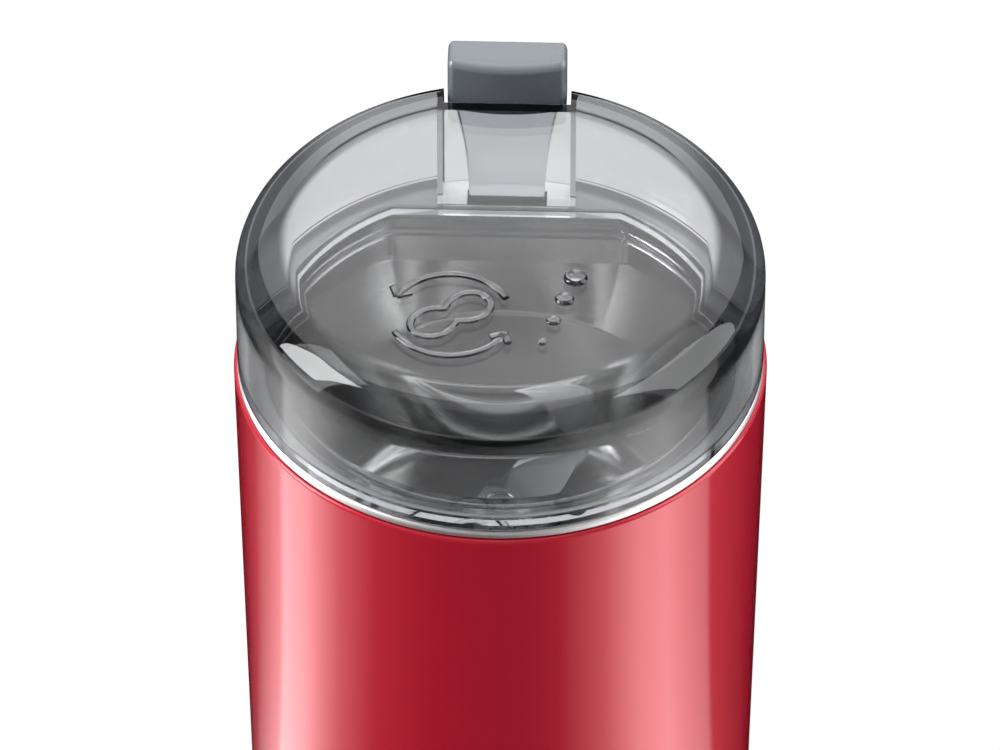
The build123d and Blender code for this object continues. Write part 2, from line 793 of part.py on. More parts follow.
# Blade hub, two-wing blade with raised tips, and its nut
with BuildPart() as blade_hub:
    with BuildSketch(Plane.XY.offset(hub_z)):
        Circle(hub_r)
    extrude(amount=hub_h)
    chamfer(blade_hub.edges().group_by(Axis.Z)[-1], hub_chamfer)
    with BuildSketch(Plane.XY.offset(hub_z)):
        Circle(shaft_r + fit_gap)
    extrude(amount=hub_h, mode=Mode.SUBTRACT)
blade_shoulder = blade_r - blade_tip_w / 2
blade_along = Vector(1, 0, 0).rotate(Axis.Z, blade_turn)
blade_side = Plane((0, 0, 0), x_dir=blade_along, z_dir=blade_along.cross(Vector(0, 0, 1)))
blade_floor = Plane((0, 0, blade_z), x_dir=blade_along, z_dir=(0, 0, 1))
with BuildPart() as blade:
    with BuildSketch(blade_side):
        with BuildLine():
            Polyline(
                (-blade_r, blade_z + blade_tip_rise),
                (-blade_flat_half, blade_z),
                (blade_flat_half, blade_z),
                (blade_r, blade_z + blade_tip_rise),
                (blade_r, blade_z + blade_tip_rise + blade_t),
                (blade_flat_half, blade_z + blade_t),
                (-blade_flat_half, blade_z + blade_t),
                (-blade_r, blade_z + blade_tip_rise + blade_t),
                close=True,
            )
        make_face()
    extrude(amount=blade_root_w, both=True)
    with BuildSketch(blade_floor):
        with BuildLine():
            for side in (-1, 1):
                Line((side * blade_shoulder, -side * blade_tip_w / 2), (0, -side * blade_root_w / 2))
                Line((0, -side * blade_root_w / 2), (-side * blade_shoulder, -side * blade_tip_w / 2))
                ThreePointArc(
                    (side * blade_shoulder, -blade_tip_w / 2),
                    (side * blade_r, 0),
                    (side * blade_shoulder, blade_tip_w / 2),
                )
        make_face()
        Circle(blade_thread_r + fit_gap, mode=Mode.SUBTRACT)
    extrude(amount=blade_tip_rise + blade_t, mode=Mode.INTERSECT)
with BuildPart() as blade_nut:
    with BuildSketch(Plane.XY.offset(blade_nut_z)):
        RegularPolygon(blade_nut_across / 2, 6, major_radius=False)
    extrude(amount=blade_nut_h)
    chamfer(blade_nut.edges().group_by(Axis.Z)[-1], blade_nut_chamfer)
    with BuildSketch(Plane.XY.offset(blade_nut_z)):
        Circle(blade_thread_r + fit_gap)
    extrude(amount=blade_nut_h, mode=Mode.SUBTRACT)

# Switch, hung between the carrier's cheeks under the stem's foot
with BuildPart() as switch_body:
    with BuildSketch(Plane.XY.offset(switch_z)):
        with Locations((0, plunger_y)):
            Rectangle(switch_w, switch_d)
    extrude(amount=switch_h)
    with BuildSketch(Plane.XY.offset(switch_top)):
        with Locations((0, plunger_y)):
            Circle(plunger_r + slide_gap)
    extrude(amount=-(plunger_guide + button_travel + plunger_float), mode=Mode.SUBTRACT)
    with BuildSketch(Plane.YZ.offset(-switch_w / 2)):
        with Locations((plunger_y, switch_screw_z)):
            Circle(switch_screw_r + fit_gap)
    extrude(amount=switch_screw_bite, mode=Mode.SUBTRACT)
    with BuildSketch(Plane.YZ.offset(switch_w / 2)):
        with Locations((plunger_y, switch_screw_z)):
            Circle(switch_screw_r + fit_gap)
    extrude(amount=-switch_screw_bite, mode=Mode.SUBTRACT)
plunger_z = switch_top - plunger_guide
switch_plunger = discs([(0, plunger_y)], plunger_r, plunger_z, foot_arm_z - free_gap - plunger_z)
with BuildPart() as switch_terminals:
    with BuildSketch(Plane.XY.offset(switch_z)):
        with Locations((-terminal_x, plunger_y), (terminal_x, plunger_y)):
            Rectangle(terminal_t, terminal_w)
    extrude(amount=-terminal_h)
screw_seat_x = cheek_x + cheek_t / 2
with BuildPart() as switch_screws:
    for side in (-1, 1):
        with BuildSketch(Plane.YZ.offset(side * screw_seat_x)):
            with Locations((plunger_y, switch_screw_z)):
                Circle(switch_screw_head_r)
        extrude(amount=side * switch_screw_head_h)
        with BuildSketch(Plane.YZ.offset(side * screw_seat_x)):
            with Locations((plunger_y, switch_screw_z)):
                Circle(switch_screw_r)
        extrude(amount=-side * (cheek_t + switch_screw_bite - free_gap))
return_spring = coil_spring(
    (0, plunger_y, switch_top + spring_wire),
    (0, 0, 1),
    spring_r,
    spring_wire,
    spring_room - 2 * spring_wire,
    spring_turns,
)

# Push button: bowed cap with a socket in its underside for the stem
cap_rear_y = cap_front_y + cap_depth
with BuildPart() as push_button:
    with BuildSketch(Plane.XY.offset(cap_z)):
        with BuildLine():
            ThreePointArc(
                (-cap_w / 2, cap_front_y + cap_bow),
                (0, cap_front_y),
                (cap_w / 2, cap_front_y + cap_bow),
            )
            Polyline(
                (cap_w / 2, cap_front_y + cap_bow),
                (cap_w / 2, cap_rear_y),
                (-cap_w / 2, cap_rear_y),
                (-cap_w / 2, cap_front_y + cap_bow),
            )
        make_face()
    extrude(amount=cap_h)
    fillet(push_button.edges().filter_by(Axis.Z), cap_corner)
    fillet(push_button.edges().group_by(Axis.Z)[-1], cap_edge)
    with BuildSketch(Plane.XY.offset(cap_z)):
        with Locations((0, tenon_y)):
            Rectangle(tenon_w + 2 * fit_gap, stem_t + 2 * fit_gap)
    extrude(amount=tenon_h + fit_gap, mode=Mode.SUBTRACT)

# Button stem: tenon in the cap, tapering blade, foot over the switch plunger
waist_z = (cap_z + rim_z) / 2
waist_half = (stem_top_w + stem_w) / 4 - stem_waist
with BuildPart() as button_stem:
    with BuildSketch(Plane.XZ.offset(-stem_rear_y)):
        with BuildLine():
            Line((-stem_top_w / 2, cap_z), (stem_top_w / 2, cap_z))
            ThreePointArc((stem_top_w / 2, cap_z), (waist_half, waist_z), (stem_w / 2, rim_z))
            Polyline(
                (stem_w / 2, rim_z),
                (stem_w / 2, foot_arm_z),
                (-stem_w / 2, foot_arm_z),
                (-stem_w / 2, rim_z),
            )
            ThreePointArc((-stem_w / 2, rim_z), (-waist_half, waist_z), (-stem_top_w / 2, cap_z))
        make_face()
    extrude(amount=stem_t)
    with BuildSketch(Plane.XY.offset(cap_z)):
        with Locations((0, tenon_y)):
            Rectangle(tenon_w, stem_t)
    extrude(amount=tenon_h)
    foot_arm_y = plunger_y - spring_r - spring_wire
    with BuildSketch(Plane.XY.offset(foot_arm_z)):
        with Locations((0, (foot_arm_y + stem_rear_y) / 2)):
            Rectangle(foot_arm_w, stem_rear_y - foot_arm_y)
    extrude(amount=foot_arm_t)

# Lid: clear cap with a rounded shoulder, a skirt in the bowl mouth and a rear pocket


def lid_form(radius, shoulder, bottom, top):
    """Round cap solid with a rounded shoulder."""
    with BuildPart() as made:
        with BuildSketch(Plane.XY.offset(bottom)):
            Circle(radius)
        extrude(amount=top - bottom)
        fillet(made.edges().group_by(Axis.Z)[-1], shoulder)
    return made.part


def mouth_plug(gap, bottom, height):
    """Prism of the bowl mouth's plan with its rear flat, drawn in by a gap."""
    with BuildPart() as made:
        with BuildSketch(Plane.XY.offset(bottom)):
            Circle(mouth_r - gap)
            with Locations((0, mouth_flat_y - gap)):
                Rectangle(2 * mouth_r, mouth_r, align=(Align.CENTER, Align.MIN), mode=Mode.SUBTRACT)
        extrude(amount=height)
    return made.part


pocket_wall_y = pocket_front_y - pocket_wall
lid_hollow_z = lid_z + lid_ledge_t
with BuildPart() as lid_hollow:
    add(lid_form(lid_inner_r, lid_shoulder - lid_wall, lid_hollow_z, lid_top - lid_wall))
    with BuildSketch(Plane.XY.offset(lid_hollow_z)):
        with Locations((0, pocket_wall_y)):
            Rectangle(pocket_w + 2 * pocket_wall, lip_r, align=(Align.CENTER, Align.MIN))
    extrude(amount=lid_h, mode=Mode.SUBTRACT)
with BuildPart() as lid:
    add(lid_form(lip_r, lid_shoulder, lid_z, lid_top))
    fillet(lid.edges().group_by(Axis.Z)[0], lid_edge_round)
    add(mouth_plug(skirt_gap, lid_z - skirt_h, skirt_h + lid_ledge_t))
    add(lid_hollow.part, mode=Mode.SUBTRACT)
    add(mouth_plug(skirt_gap + skirt_wall, lid_z - skirt_h, skirt_h + lid_ledge_t), mode=Mode.SUBTRACT)
    with BuildSketch(Plane.XY.offset(lid_z - skirt_h)):
        with Locations((0, pocket_front_y)):
            Rectangle(pocket_w, lip_r, align=(Align.CENTER, Align.MIN))
    extrude(amount=skirt_h + lid_h, mode=Mode.SUBTRACT)

# Suppression capacitor standing on the base floor
with BuildPart() as capacitor:
    with BuildSketch(Plane.XY.offset(base_floor_top)):
        with Locations((0, -capacitor_y)):
            Rectangle(capacitor_w, capacitor_d)
    extrude(amount=capacitor_h)
    fillet(capacitor.edges().filter_by(Axis.Z), capacitor_round)

# Leads from the switch terminals down and across to the brush boxes
with BuildPart() as motor_leads:
    for side in (-1, 1):
        lead_top = (side * terminal_x, plunger_y, switch_z - terminal_h - fit_gap)
        lead_turn = (side * terminal_x, plunger_y, brush_z)
        lead_end = (side * (brush_box_x + brush_box_length / 2), brush_box_side / 2 + lead_r, brush_z)
        with BuildLine() as lead_path:
            FilletPolyline(lead_top, lead_turn, lead_end, radius=lead_bend_r)
        with BuildSketch(Plane(origin=lead_top, z_dir=(0, 0, -1))):
            Circle(lead_r)
        sweep(path=lead_path.line)

pieces = {
    "body_shell": body_shell,
    "base_cover": base_cover,
    "rubber_feet": rubber_feet,
    "tie_screws": tie_screws,
    "inlet_bush": inlet_bush,
    "grinding_bowl": grinding_bowl,
    "shaft_seal": shaft_seal,
    "bowl_carrier": bowl_carrier,
    "bowl_studs": bowl_studs,
    "bowl_nuts": bowl_nuts,
    "motor_mounts": motor_mounts,
    "mount_screws": mount_screws,
    "upper_bracket": upper_bracket,
    "lower_bracket": lower_bracket,
    "upper_bearing": upper_bearing,
    "lower_bearing": lower_bearing,
    "stator_core": stator_core,
    "field_coils": field_coils,
    "motor_bolts": motor_bolts,
    "brush_holders": brush_holders,
    "carbon_brushes": carbon_brushes,
    "brush_springs": brush_springs,
    "motor_shaft": motor_shaft,
    "armature_core": armature_core,
    "armature_windings": armature_windings,
    "commutator": commutator,
    "thrust_washers": thrust_washers,
    "blade_hub": blade_hub,
    "blade": blade,
    "blade_nut": blade_nut,
    "switch_body": switch_body,
    "switch_plunger": switch_plunger,
    "switch_terminals": switch_terminals,
    "switch_screws": switch_screws,
    "return_spring": return_spring,
    "push_button": push_button,
    "button_stem": button_stem,
    "lid": lid,
    "capacitor": capacitor,
    "motor_leads": motor_leads,
}
os.makedirs("parts", exist_ok=True)
for name, piece in pieces.items():
    piece.part.label = name
    export_step(piece.part, f"parts/{name}.step")
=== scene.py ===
import json
import logging
import math
from dataclasses import dataclass
from enum import Enum
from typing import Mapping, Optional, Sequence, Union

import bmesh
import bpy
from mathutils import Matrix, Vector


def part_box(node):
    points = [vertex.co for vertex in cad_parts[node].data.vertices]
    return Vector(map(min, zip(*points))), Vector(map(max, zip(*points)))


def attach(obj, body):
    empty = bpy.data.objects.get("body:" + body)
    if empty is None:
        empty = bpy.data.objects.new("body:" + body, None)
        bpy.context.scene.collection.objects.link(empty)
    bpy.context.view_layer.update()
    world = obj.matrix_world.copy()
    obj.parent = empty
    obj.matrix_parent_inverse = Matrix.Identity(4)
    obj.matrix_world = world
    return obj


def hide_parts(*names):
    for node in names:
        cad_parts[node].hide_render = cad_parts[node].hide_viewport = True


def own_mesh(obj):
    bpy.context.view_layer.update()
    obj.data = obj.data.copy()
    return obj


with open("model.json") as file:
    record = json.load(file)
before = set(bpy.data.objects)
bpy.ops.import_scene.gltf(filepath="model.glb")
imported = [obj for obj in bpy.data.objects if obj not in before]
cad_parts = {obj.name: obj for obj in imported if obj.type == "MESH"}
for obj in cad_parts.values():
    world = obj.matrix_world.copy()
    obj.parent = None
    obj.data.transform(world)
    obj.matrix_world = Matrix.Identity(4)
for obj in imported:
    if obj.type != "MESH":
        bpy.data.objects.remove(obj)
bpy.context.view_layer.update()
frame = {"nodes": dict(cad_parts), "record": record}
LOG = logging.getLogger("grinder")

Point = tuple[float, float]
Place = tuple[float, float, float]
Corner = tuple[float, float, float]
Color = tuple[float, float, float, float]
Number = Union[float, "Wire"]
Settings = Optional[Mapping[str, object]]
Inputs = Optional[Mapping[Union[int, str], object]]
Ring = Sequence[bmesh.types.BMVert]

WHITE: Color = (1.0, 1.0, 1.0, 1.0)
UNSTRETCHED: Place = (1.0, 1.0, 1.0)
SMOOTH_ANGLE = math.radians(28)
SHARP_ANGLE = math.radians(40)
FINE_SEGMENTS = 256
WELD = 1e-6
FULL_TURN = 360
NOISE_MIDDLE = 0.5


class Wire:
    """One output socket of a node tree, usable in sums."""

    def __init__(self, owner: "NodeTree", socket: bpy.types.NodeSocket) -> None:
        """Keeps the tree and the socket."""
        self.owner = owner
        self.socket = socket

    def _sum(self, operation: str, first: Number, second: Number) -> "Wire":
        """Adds one Math node."""
        return self.owner.node("ShaderNodeMath", {"operation": operation}, {0: first, 1: second})

    def __add__(self, other: Number) -> "Wire":
        """Sum."""
        return self._sum("ADD", self, other)

    def __radd__(self, other: Number) -> "Wire":
        """Sum with the number first."""
        return self._sum("ADD", other, self)

    def __sub__(self, other: Number) -> "Wire":
        """Difference."""
        return self._sum("SUBTRACT", self, other)

    def __rsub__(self, other: Number) -> "Wire":
        """Difference with the number first."""
        return self._sum("SUBTRACT", other, self)

    def __mul__(self, other: Number) -> "Wire":
        """Product."""
        return self._sum("MULTIPLY", self, other)

    def __rmul__(self, other: Number) -> "Wire":
        """Product with the number first."""
        return self._sum("MULTIPLY", other, self)

    def above(self, level: float) -> "Wire":
        """One where the value is above a level, else zero."""
        return self._sum("GREATER_THAN", self, level)

    def centred(self) -> "Wire":
        """A noise's value, moved to lie round zero."""
        return self - NOISE_MIDDLE

    def clamped(self, other: Number) -> "Wire":
        """The smaller of this value and another."""
        return self._sum("MINIMUM", self, other)


class NodeTree:
    """A node tree and the one way in which nodes are added to it."""

    def __init__(self, tree: bpy.types.NodeTree) -> None:
        """Empties a tree and keeps it."""
        self.tree = tree
        self.tree.nodes.clear()

    def add(self, kind: str, settings: Settings = None, inputs: Inputs = None) -> bpy.types.Node:
        """Adds a node, sets it up and links it.

        Args:
            kind: The node's type.
            settings: Its own settings, set first; "stops" fills a colour ramp.
            inputs: Values or wires by socket name or number.

        Returns:
            The node.
        """
        made = self.tree.nodes.new(kind)
        for name, value in (settings or {}).items():
            if name == "stops":
                self._fill_ramp(made.color_ramp, value)
            else:
                setattr(made, name, value)
        for name, value in (inputs or {}).items():
            if isinstance(value, Wire):
                self.tree.links.new(value.socket, made.inputs[name])
            else:
                made.inputs[name].default_value = value
        return made

    def node(
        self, kind: str, settings: Settings = None, inputs: Inputs = None, output: Union[int, str] = 0
    ) -> Wire:
        """Adds a node as add does and hands back one of its outputs."""
        return Wire(self, self.add(kind, settings, inputs).outputs[output])

    @staticmethod
    def _fill_ramp(ramp: bpy.types.ColorRamp, stops: Sequence[Point]) -> None:
        """Sets a ramp's stops to grey levels.

        Args:
            ramp: The colour ramp.
            stops: Pairs of place and grey level.
        """
        ramp.elements.remove(ramp.elements[1])
        ramp.elements[0].position = stops[0][0]
        ramp.elements[0].color = (stops[0][1],) * 3 + (1.0,)
        for place, level in stops[1:]:
            ramp.elements.new(place).color = (level, level, level, 1.0)

    def seen_rays(self) -> Wire:
        """Tells the rays that see a thing from those that light it.

        Returns:
            One for rays from the camera, a mirror or a clear piece, else zero.
        """
        names = ("Is Camera Ray", "Is Glossy Ray", "Is Transmission Ray")
        camera, mirror, clear = (self.node("ShaderNodeLightPath", None, None, name) for name in names)
        return (camera + mirror + clear).clamped(1.0)


@dataclass(frozen=True)
class Grain:
    """Scale, detail and stretch of a noise."""

    scale: float
    detail: float
    stretch: Place = UNSTRETCHED


class Paint(NodeTree):
    """Builds one material's node tree."""

    def __init__(self, name: str) -> None:
        """Starts a material with an empty tree.

        Args:
            name: The material's name.
        """
        self.material = bpy.data.materials.new(name)
        self.material.use_nodes = True
        super().__init__(self.material.node_tree)

    def place(self, scale: Place = UNSTRETCHED) -> Wire:
        """Object coordinates, stretched by a scale."""
        at = self.node("ShaderNodeTexCoord", output="Object")
        return self.node("ShaderNodeMapping", None, {"Vector": at, "Scale": scale})

    def part(self, at: Wire, axis: str) -> Wire:
        """One coordinate of a place."""
        return self.node("ShaderNodeSeparateXYZ", None, {"Vector": at}, axis)

    def turned(self, at: Wire) -> tuple[Wire, Wire]:
        """Distance from the Z axis and height of a place.

        Args:
            at: The place.

        Returns:
            Distance and height.
        """
        flat = self.node("ShaderNodeVectorMath", {"operation": "MULTIPLY"}, {0: at, 1: (1.0, 1.0, 0.0)})
        around = self.node("ShaderNodeVectorMath", {"operation": "LENGTH"}, {0: flat}, "Value")
        return around, self.part(at, "Z")

    def noise(self, grain: Grain, at: Optional[Wire] = None) -> Wire:
        """Noise from zero to one, read on the piece or at a place of its own."""
        return self.node("ShaderNodeTexNoise", None, {
            "Vector": self.place(grain.stretch) if at is None else at,
            "Scale": grain.scale,
            "Detail": grain.detail,
        })

    def between(self, value: Wire, low: float, high: float) -> Wire:
        """Zero below one level and one above another, with a soft step between them."""
        limits = {"Value": value, "From Min": low, "From Max": high}
        return self.node("ShaderNodeMapRange", {"interpolation_type": "SMOOTHSTEP"}, limits)

    def mix(self, factor: Number, first: object, second: object) -> Wire:
        """Colour between two colours."""
        return self.node("ShaderNodeMix", {"data_type": "RGBA"}, {0: factor, 6: first, 7: second}, 2)

    def ramp(self, value: Wire, stops: Sequence[Point]) -> Wire:
        """Grey ramp of a value."""
        return self.node("ShaderNodeValToRGB", {"stops": stops}, {"Fac": value})

    def bump(self, height: Wire, depth: float) -> Wire:
        """Normal of a relief with a depth in metres."""
        return self.node("ShaderNodeBump", None, {"Distance": depth, "Height": height})

    def glow(self, color: object, strength: float = 1.0) -> Wire:
        """Shader that gives light of a colour."""
        return self.node("ShaderNodeEmission", None, {"Color": color, "Strength": strength})

    def surface(self, shader: Wire, volume: Optional[Wire] = None) -> bpy.types.Material:
        """Ends the tree in a shader.

        Args:
            shader: The surface shader.
            volume: The volume shader, if any.

        Returns:
            The material.
        """
        ends = {"Surface": shader} if volume is None else {"Surface": shader, "Volume": volume}
        self.add("ShaderNodeOutputMaterial", None, ends)
        return self.material

    def principled(self, inputs: Inputs, volume: Optional[Wire] = None) -> bpy.types.Material:
        """Ends the tree in the one shader that plastics and metals share."""
        return self.surface(self.node("ShaderNodeBsdfPrincipled", None, inputs), volume)


def shaded(color: Color, share: float) -> Color:
    """A colour times a share."""
    return (color[0] * share, color[1] * share, color[2] * share, 1.0)


class Lay(Enum):
    """Which way a metal's fine marks run."""

    TURNED = "turned"
    ROLLED = "rolled"
    CAST = "cast"
    STACKED = "stacked"
    WOUND = "wound"


LAY_SCALES: Mapping[Lay, Place] = {
    Lay.ROLLED: (0.04, 1.0, 1.0),
    Lay.CAST: UNSTRETCHED,
    Lay.STACKED: (0.01, 0.01, 1.0),
    Lay.WOUND: (0.02, 0.02, 1.0),
}


@dataclass(frozen=True)
class Lacquer:
    """Deep glossy lacquer with faint mottling, soft ripple and a few specks."""

    name: str
    color: Color
    deep: Color
    roughness: float
    flake: float = 0.28
    cloud: Grain = Grain(18.0, 3.0)
    rub: Grain = Grain(90.0, 6.0, (1.0, 1.0, 0.15))
    rub_share: float = 0.05
    ripple: Grain = Grain(260.0, 1.0)
    ripple_depth: float = 0.000002
    speck_scale: float = 55.0
    speck_size: float = 0.012
    speck_dark: float = 0.25
    speck_share: float = 0.3
    rare: Grain = Grain(31.0, 0.0)
    rare_above: float = 0.6
    index: float = 1.5
    under_gloss: float = 0.1
    coat_roughness: float = 0.02

    def material(self) -> bpy.types.Material:
        """Builds the material.

        Returns:
            The material.
        """
        paint = Paint(self.name)
        hue = paint.mix(paint.noise(self.cloud), self.deep, self.color)
        cells = paint.node("ShaderNodeTexVoronoi", None, {"Vector": paint.place(), "Scale": self.speck_scale})
        speck = (1.0 - cells.above(self.speck_size)) * paint.noise(self.rare).above(self.rare_above)
        speck_color = (self.deep[0] * self.speck_dark, *self.deep[1:])
        return paint.principled({
            "Base Color": paint.mix(speck, hue, speck_color),
            "Metallic": self.flake,
            "Roughness": self.roughness + self.rub_share * paint.noise(self.rub) + self.speck_share * speck,
            "IOR": self.index,
            "Specular IOR Level": self.under_gloss,
            "Coat Weight": 1.0 - speck,
            "Coat Roughness": self.coat_roughness,
            "Coat IOR": self.index,
            "Normal": paint.bump(paint.noise(self.ripple), self.ripple_depth),
        })


@dataclass(frozen=True)
class Clear:
    """Smoky clear plastic with hairline rubs and its tint in its thickness, with painted shade on its outer
    shoulder, darkest at the lid's two sides.

    Each band gives where the shoulder's painted shade starts and where it is full, by radius, height and
    side.
    """

    name: str
    tint: Color
    density: float
    # Colour of the painted shade on the shoulder, darker than the clear colour.
    shoulder: Color
    clear: Color = (0.90, 0.90, 0.906, 1.0)
    radius_band: Point = (0.0346, 0.0364)
    height_band: Point = (0.152, 0.157)
    side_band: Point = (0.024, 0.037)
    middle_share: float = 0.4
    roughness: float = 0.012
    hair: Grain = Grain(160.0, 8.0, (1.0, 0.06, 1.0))
    hair_stops: tuple[Point, Point] = ((0.55, 0.0), (0.72, 1.0))
    hair_share: float = 0.03
    wave: Grain = Grain(60.0, 1.0)
    wave_depth: float = 0.000004
    index: float = 1.5

    def _shoulder_shade_share(self, paint: Paint) -> Wire:
        """Share of painted shade: one on the sides of the lid's outer shoulder, falling to zero on its top
        and wall.

        Args:
            paint: The tree to build in.

        Returns:
            The share.
        """
        at = paint.node("ShaderNodeTexCoord", output="Object")
        around, height = paint.turned(at)
        across = paint.part(at, "X")
        outer = paint.between(around, *self.radius_band)
        upper = paint.between(height, *self.height_band)
        beside = paint.between(across * across, *(reach**2 for reach in self.side_band))
        return outer * upper * (self.middle_share + (1.0 - self.middle_share) * beside)

    def material(self) -> bpy.types.Material:
        """Builds the material.

        Returns:
            The material.
        """
        paint = Paint(self.name)
        hair = paint.ramp(paint.noise(self.hair), self.hair_stops)
        smoke = paint.node("ShaderNodeVolumeAbsorption", None, {"Color": self.tint, "Density": self.density})
        return paint.principled({
            # Painted shade: the base colour darkens on the shoulder by place.
            "Base Color": paint.mix(self._shoulder_shade_share(paint), self.clear, self.shoulder),
            "Roughness": self.roughness + self.hair_share * hair,
            "IOR": self.index,
            "Transmission Weight": 1.0,
            "Normal": paint.bump(paint.noise(self.wave), self.wave_depth),
        }, smoke)


@dataclass(frozen=True)
class Milky:
    """Translucent natural plastic that scatters what stands behind it."""

    name: str
    color: Color
    roughness: float = 0.16
    shine_through: float = 0.92
    cloud: Grain = Grain(70.0, 4.0, (1.0, 1.0, 0.4))
    cloud_dark: float = 0.9
    cloud_share: float = 0.1
    skin: Grain = Grain(900.0, 2.0)
    skin_depth: float = 0.00001
    index: float = 1.49

    def material(self) -> bpy.types.Material:
        """Builds the material.

        Returns:
            The material.
        """
        paint = Paint(self.name)
        cloud = paint.noise(self.cloud)
        return paint.principled({
            "Base Color": paint.mix(cloud, shaded(self.color, self.cloud_dark), self.color),
            "Roughness": self.roughness + self.cloud_share * cloud.centred(),
            "IOR": self.index,
            "Transmission Weight": self.shine_through,
            "Normal": paint.bump(paint.noise(self.skin), self.skin_depth),
        })


@dataclass(frozen=True)
class Moulded:
    """Moulded plastic or rubber with a fine grain and faint mottling."""

    name: str
    color: Color
    roughness: float
    grain: Grain = Grain(2200.0, 2.0)
    grain_depth: float = 0.00002
    grain_share: float = 0.1
    cloud: Grain = Grain(45.0, 4.0)
    cloud_share: float = 0.08
    mottle: float = 0.12
    coat: float = 0.0
    coat_roughness: float = 0.12
    index: float = 1.5

    def material(self) -> bpy.types.Material:
        """Builds the material.

        Returns:
            The material.
        """
        paint = Paint(self.name)
        cloud = paint.noise(self.cloud)
        pits = paint.noise(self.grain)
        dark, light = (shaded(self.color, 1.0 + way * self.mottle) for way in (-1, 1))
        rough = self.roughness + self.grain_share * pits.centred() + self.cloud_share * cloud.centred()
        return paint.principled({
            "Base Color": paint.mix(cloud, dark, light),
            "Roughness": rough,
            "IOR": self.index,
            "Coat Weight": self.coat,
            "Coat Roughness": self.coat_roughness,
            "Normal": paint.bump(pits, self.grain_depth),
        })


@dataclass(frozen=True)
class Metal:
    """Bare metal with fine marks that run one way, satin above a height where one is given."""

    name: str
    color: Color
    roughness: float
    lay: Lay
    mark_scale: float = 1500.0
    mark_depth: float = 0.000008
    mark_detail: float = 5.0
    mark_share: float = 0.16
    cloud: Grain = Grain(30.0, 3.0)
    cloud_share: float = 0.06
    stain: float = 0.08
    satin_above: Optional[float] = None
    satin: float = 0.3
    satin_color: Color = (0.95, 0.95, 0.94, 1.0)

    def _marks_at(self, paint: Paint) -> Wire:
        """Where the marks are read from.

        Args:
            paint: The tree to build in.

        Returns:
            Coordinates in which the marks run their way.
        """
        if self.lay is not Lay.TURNED:
            return paint.place(LAY_SCALES[self.lay])
        around, height = paint.turned(paint.node("ShaderNodeTexCoord", output="Object"))
        return paint.node("ShaderNodeCombineXYZ", None, {"X": around, "Y": height})

    def material(self) -> bpy.types.Material:
        """Builds the material.

        Returns:
            The material.
        """
        paint = Paint(self.name)
        marks = paint.noise(Grain(self.mark_scale, self.mark_detail), self._marks_at(paint))
        cloud = paint.noise(self.cloud)
        hue = paint.mix(cloud, shaded(self.color, 1.0 - self.stain), self.color)
        rough = self.roughness + self.mark_share * marks.centred() + self.cloud_share * cloud.centred()
        if self.satin_above is not None:
            share = paint.part(paint.place(), "Z").above(self.satin_above)
            hue = paint.mix(share, hue, self.satin_color)
            rough = rough + self.satin * share
        return paint.principled({
            "Base Color": hue,
            "Metallic": 1.0,
            "Roughness": rough,
            "Normal": paint.bump(marks, self.mark_depth),
        })


Finish = Union[Lacquer, Clear, Milky, Moulded, Metal]

FINISHES: Mapping[str, Finish] = {
    "shell_red": Lacquer("red_lacquer", (0.57, 0.011, 0.034, 1.0), (0.52, 0.009, 0.030, 1.0), 0.38),
    # The lid's last colour is the painted shade on its shoulder.
    "clear_plastic": Clear("smoky_clear_painted_shade", (0.58, 0.59, 0.61, 1.0), 205.0, (0.18, 0.184, 0.197, 1.0)),
    "button_grey": Moulded(
        "satin_blue_grey", (0.17, 0.19, 0.212, 1.0), 0.26, grain_depth=0.000003, mottle=0.04, coat=0.4
    ),
    "stem_milky": Milky("milky_plastic", (0.85, 0.87, 0.91, 1.0)),
    "base_dark": Moulded("grained_dark", (0.035, 0.035, 0.038, 1.0), 0.5),
    "rubber_black": Moulded("matt_rubber", (0.022, 0.022, 0.022, 1.0), 0.75),
    "bowl_steel": Metal(
        "drawn_steel", (0.62, 0.62, 0.61, 1.0), 0.2, Lay.TURNED, satin_above=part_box("body_shell")[1].z
    ),
    "blade_steel": Metal("ground_steel", (0.66, 0.66, 0.66, 1.0), 0.24, Lay.ROLLED),
    "hub_black": Moulded("hub_plastic", (0.03, 0.03, 0.032, 1.0), 0.35),
    "zinc_steel": Metal("zinc_plate", (0.58, 0.58, 0.56, 1.0), 0.35, Lay.CAST),
    "carrier_plastic": Moulded("inner_plastic", (0.12, 0.12, 0.13, 1.0), 0.55),
    "bracket_aluminium": Metal("cast_aluminium", (0.68, 0.68, 0.69, 1.0), 0.45, Lay.CAST, 700.0),
    "bronze": Metal("sintered_bronze", (0.52, 0.34, 0.17, 1.0), 0.45, Lay.CAST),
    "lamination": Metal("stacked_steel", (0.22, 0.22, 0.23, 1.0), 0.5, Lay.STACKED, 900.0, 0.00005),
    "copper": Metal("enamelled_copper", (0.55, 0.22, 0.09, 1.0), 0.35, Lay.WOUND, 1600.0, 0.00008),
    "carbon": Moulded("pressed_carbon", (0.03, 0.03, 0.03, 1.0), 0.6),
}


class Finishes:
    """Makes each finish once and gives it to pieces."""

    def __init__(self) -> None:
        """Reads which slot each node takes from the record."""
        self.made: dict[str, bpy.types.Material] = {}
        self.slot_of = {row["node"]: row["material_slot"] for row in frame["record"]["subparts"]}

    def of(self, slot: str) -> bpy.types.Material:
        """The material of a slot, made when first asked for.

        Args:
            slot: The slot's name.

        Returns:
            The material.
        """
        if slot not in self.made:
            self.made[slot] = FINISHES[slot].material()
        return self.made[slot]

    def dress(self, piece: bpy.types.Object, slot: str) -> None:
        """Gives a piece one slot's material all over."""
        piece.data.materials.clear()
        piece.data.materials.append(self.of(slot))

    def dress_cad(self) -> None:
        """Gives every CAD node the material of its slot."""
        for name, piece in frame["nodes"].items():
            material = self.of(self.slot_of[name])
            if not piece.material_slots:
                piece.data.materials.append(material)
            for slot in piece.material_slots:
                slot.material = material


class Cut(Enum):
    """How two solids are combined."""

    AWAY = "DIFFERENCE"
    JOIN = "UNION"


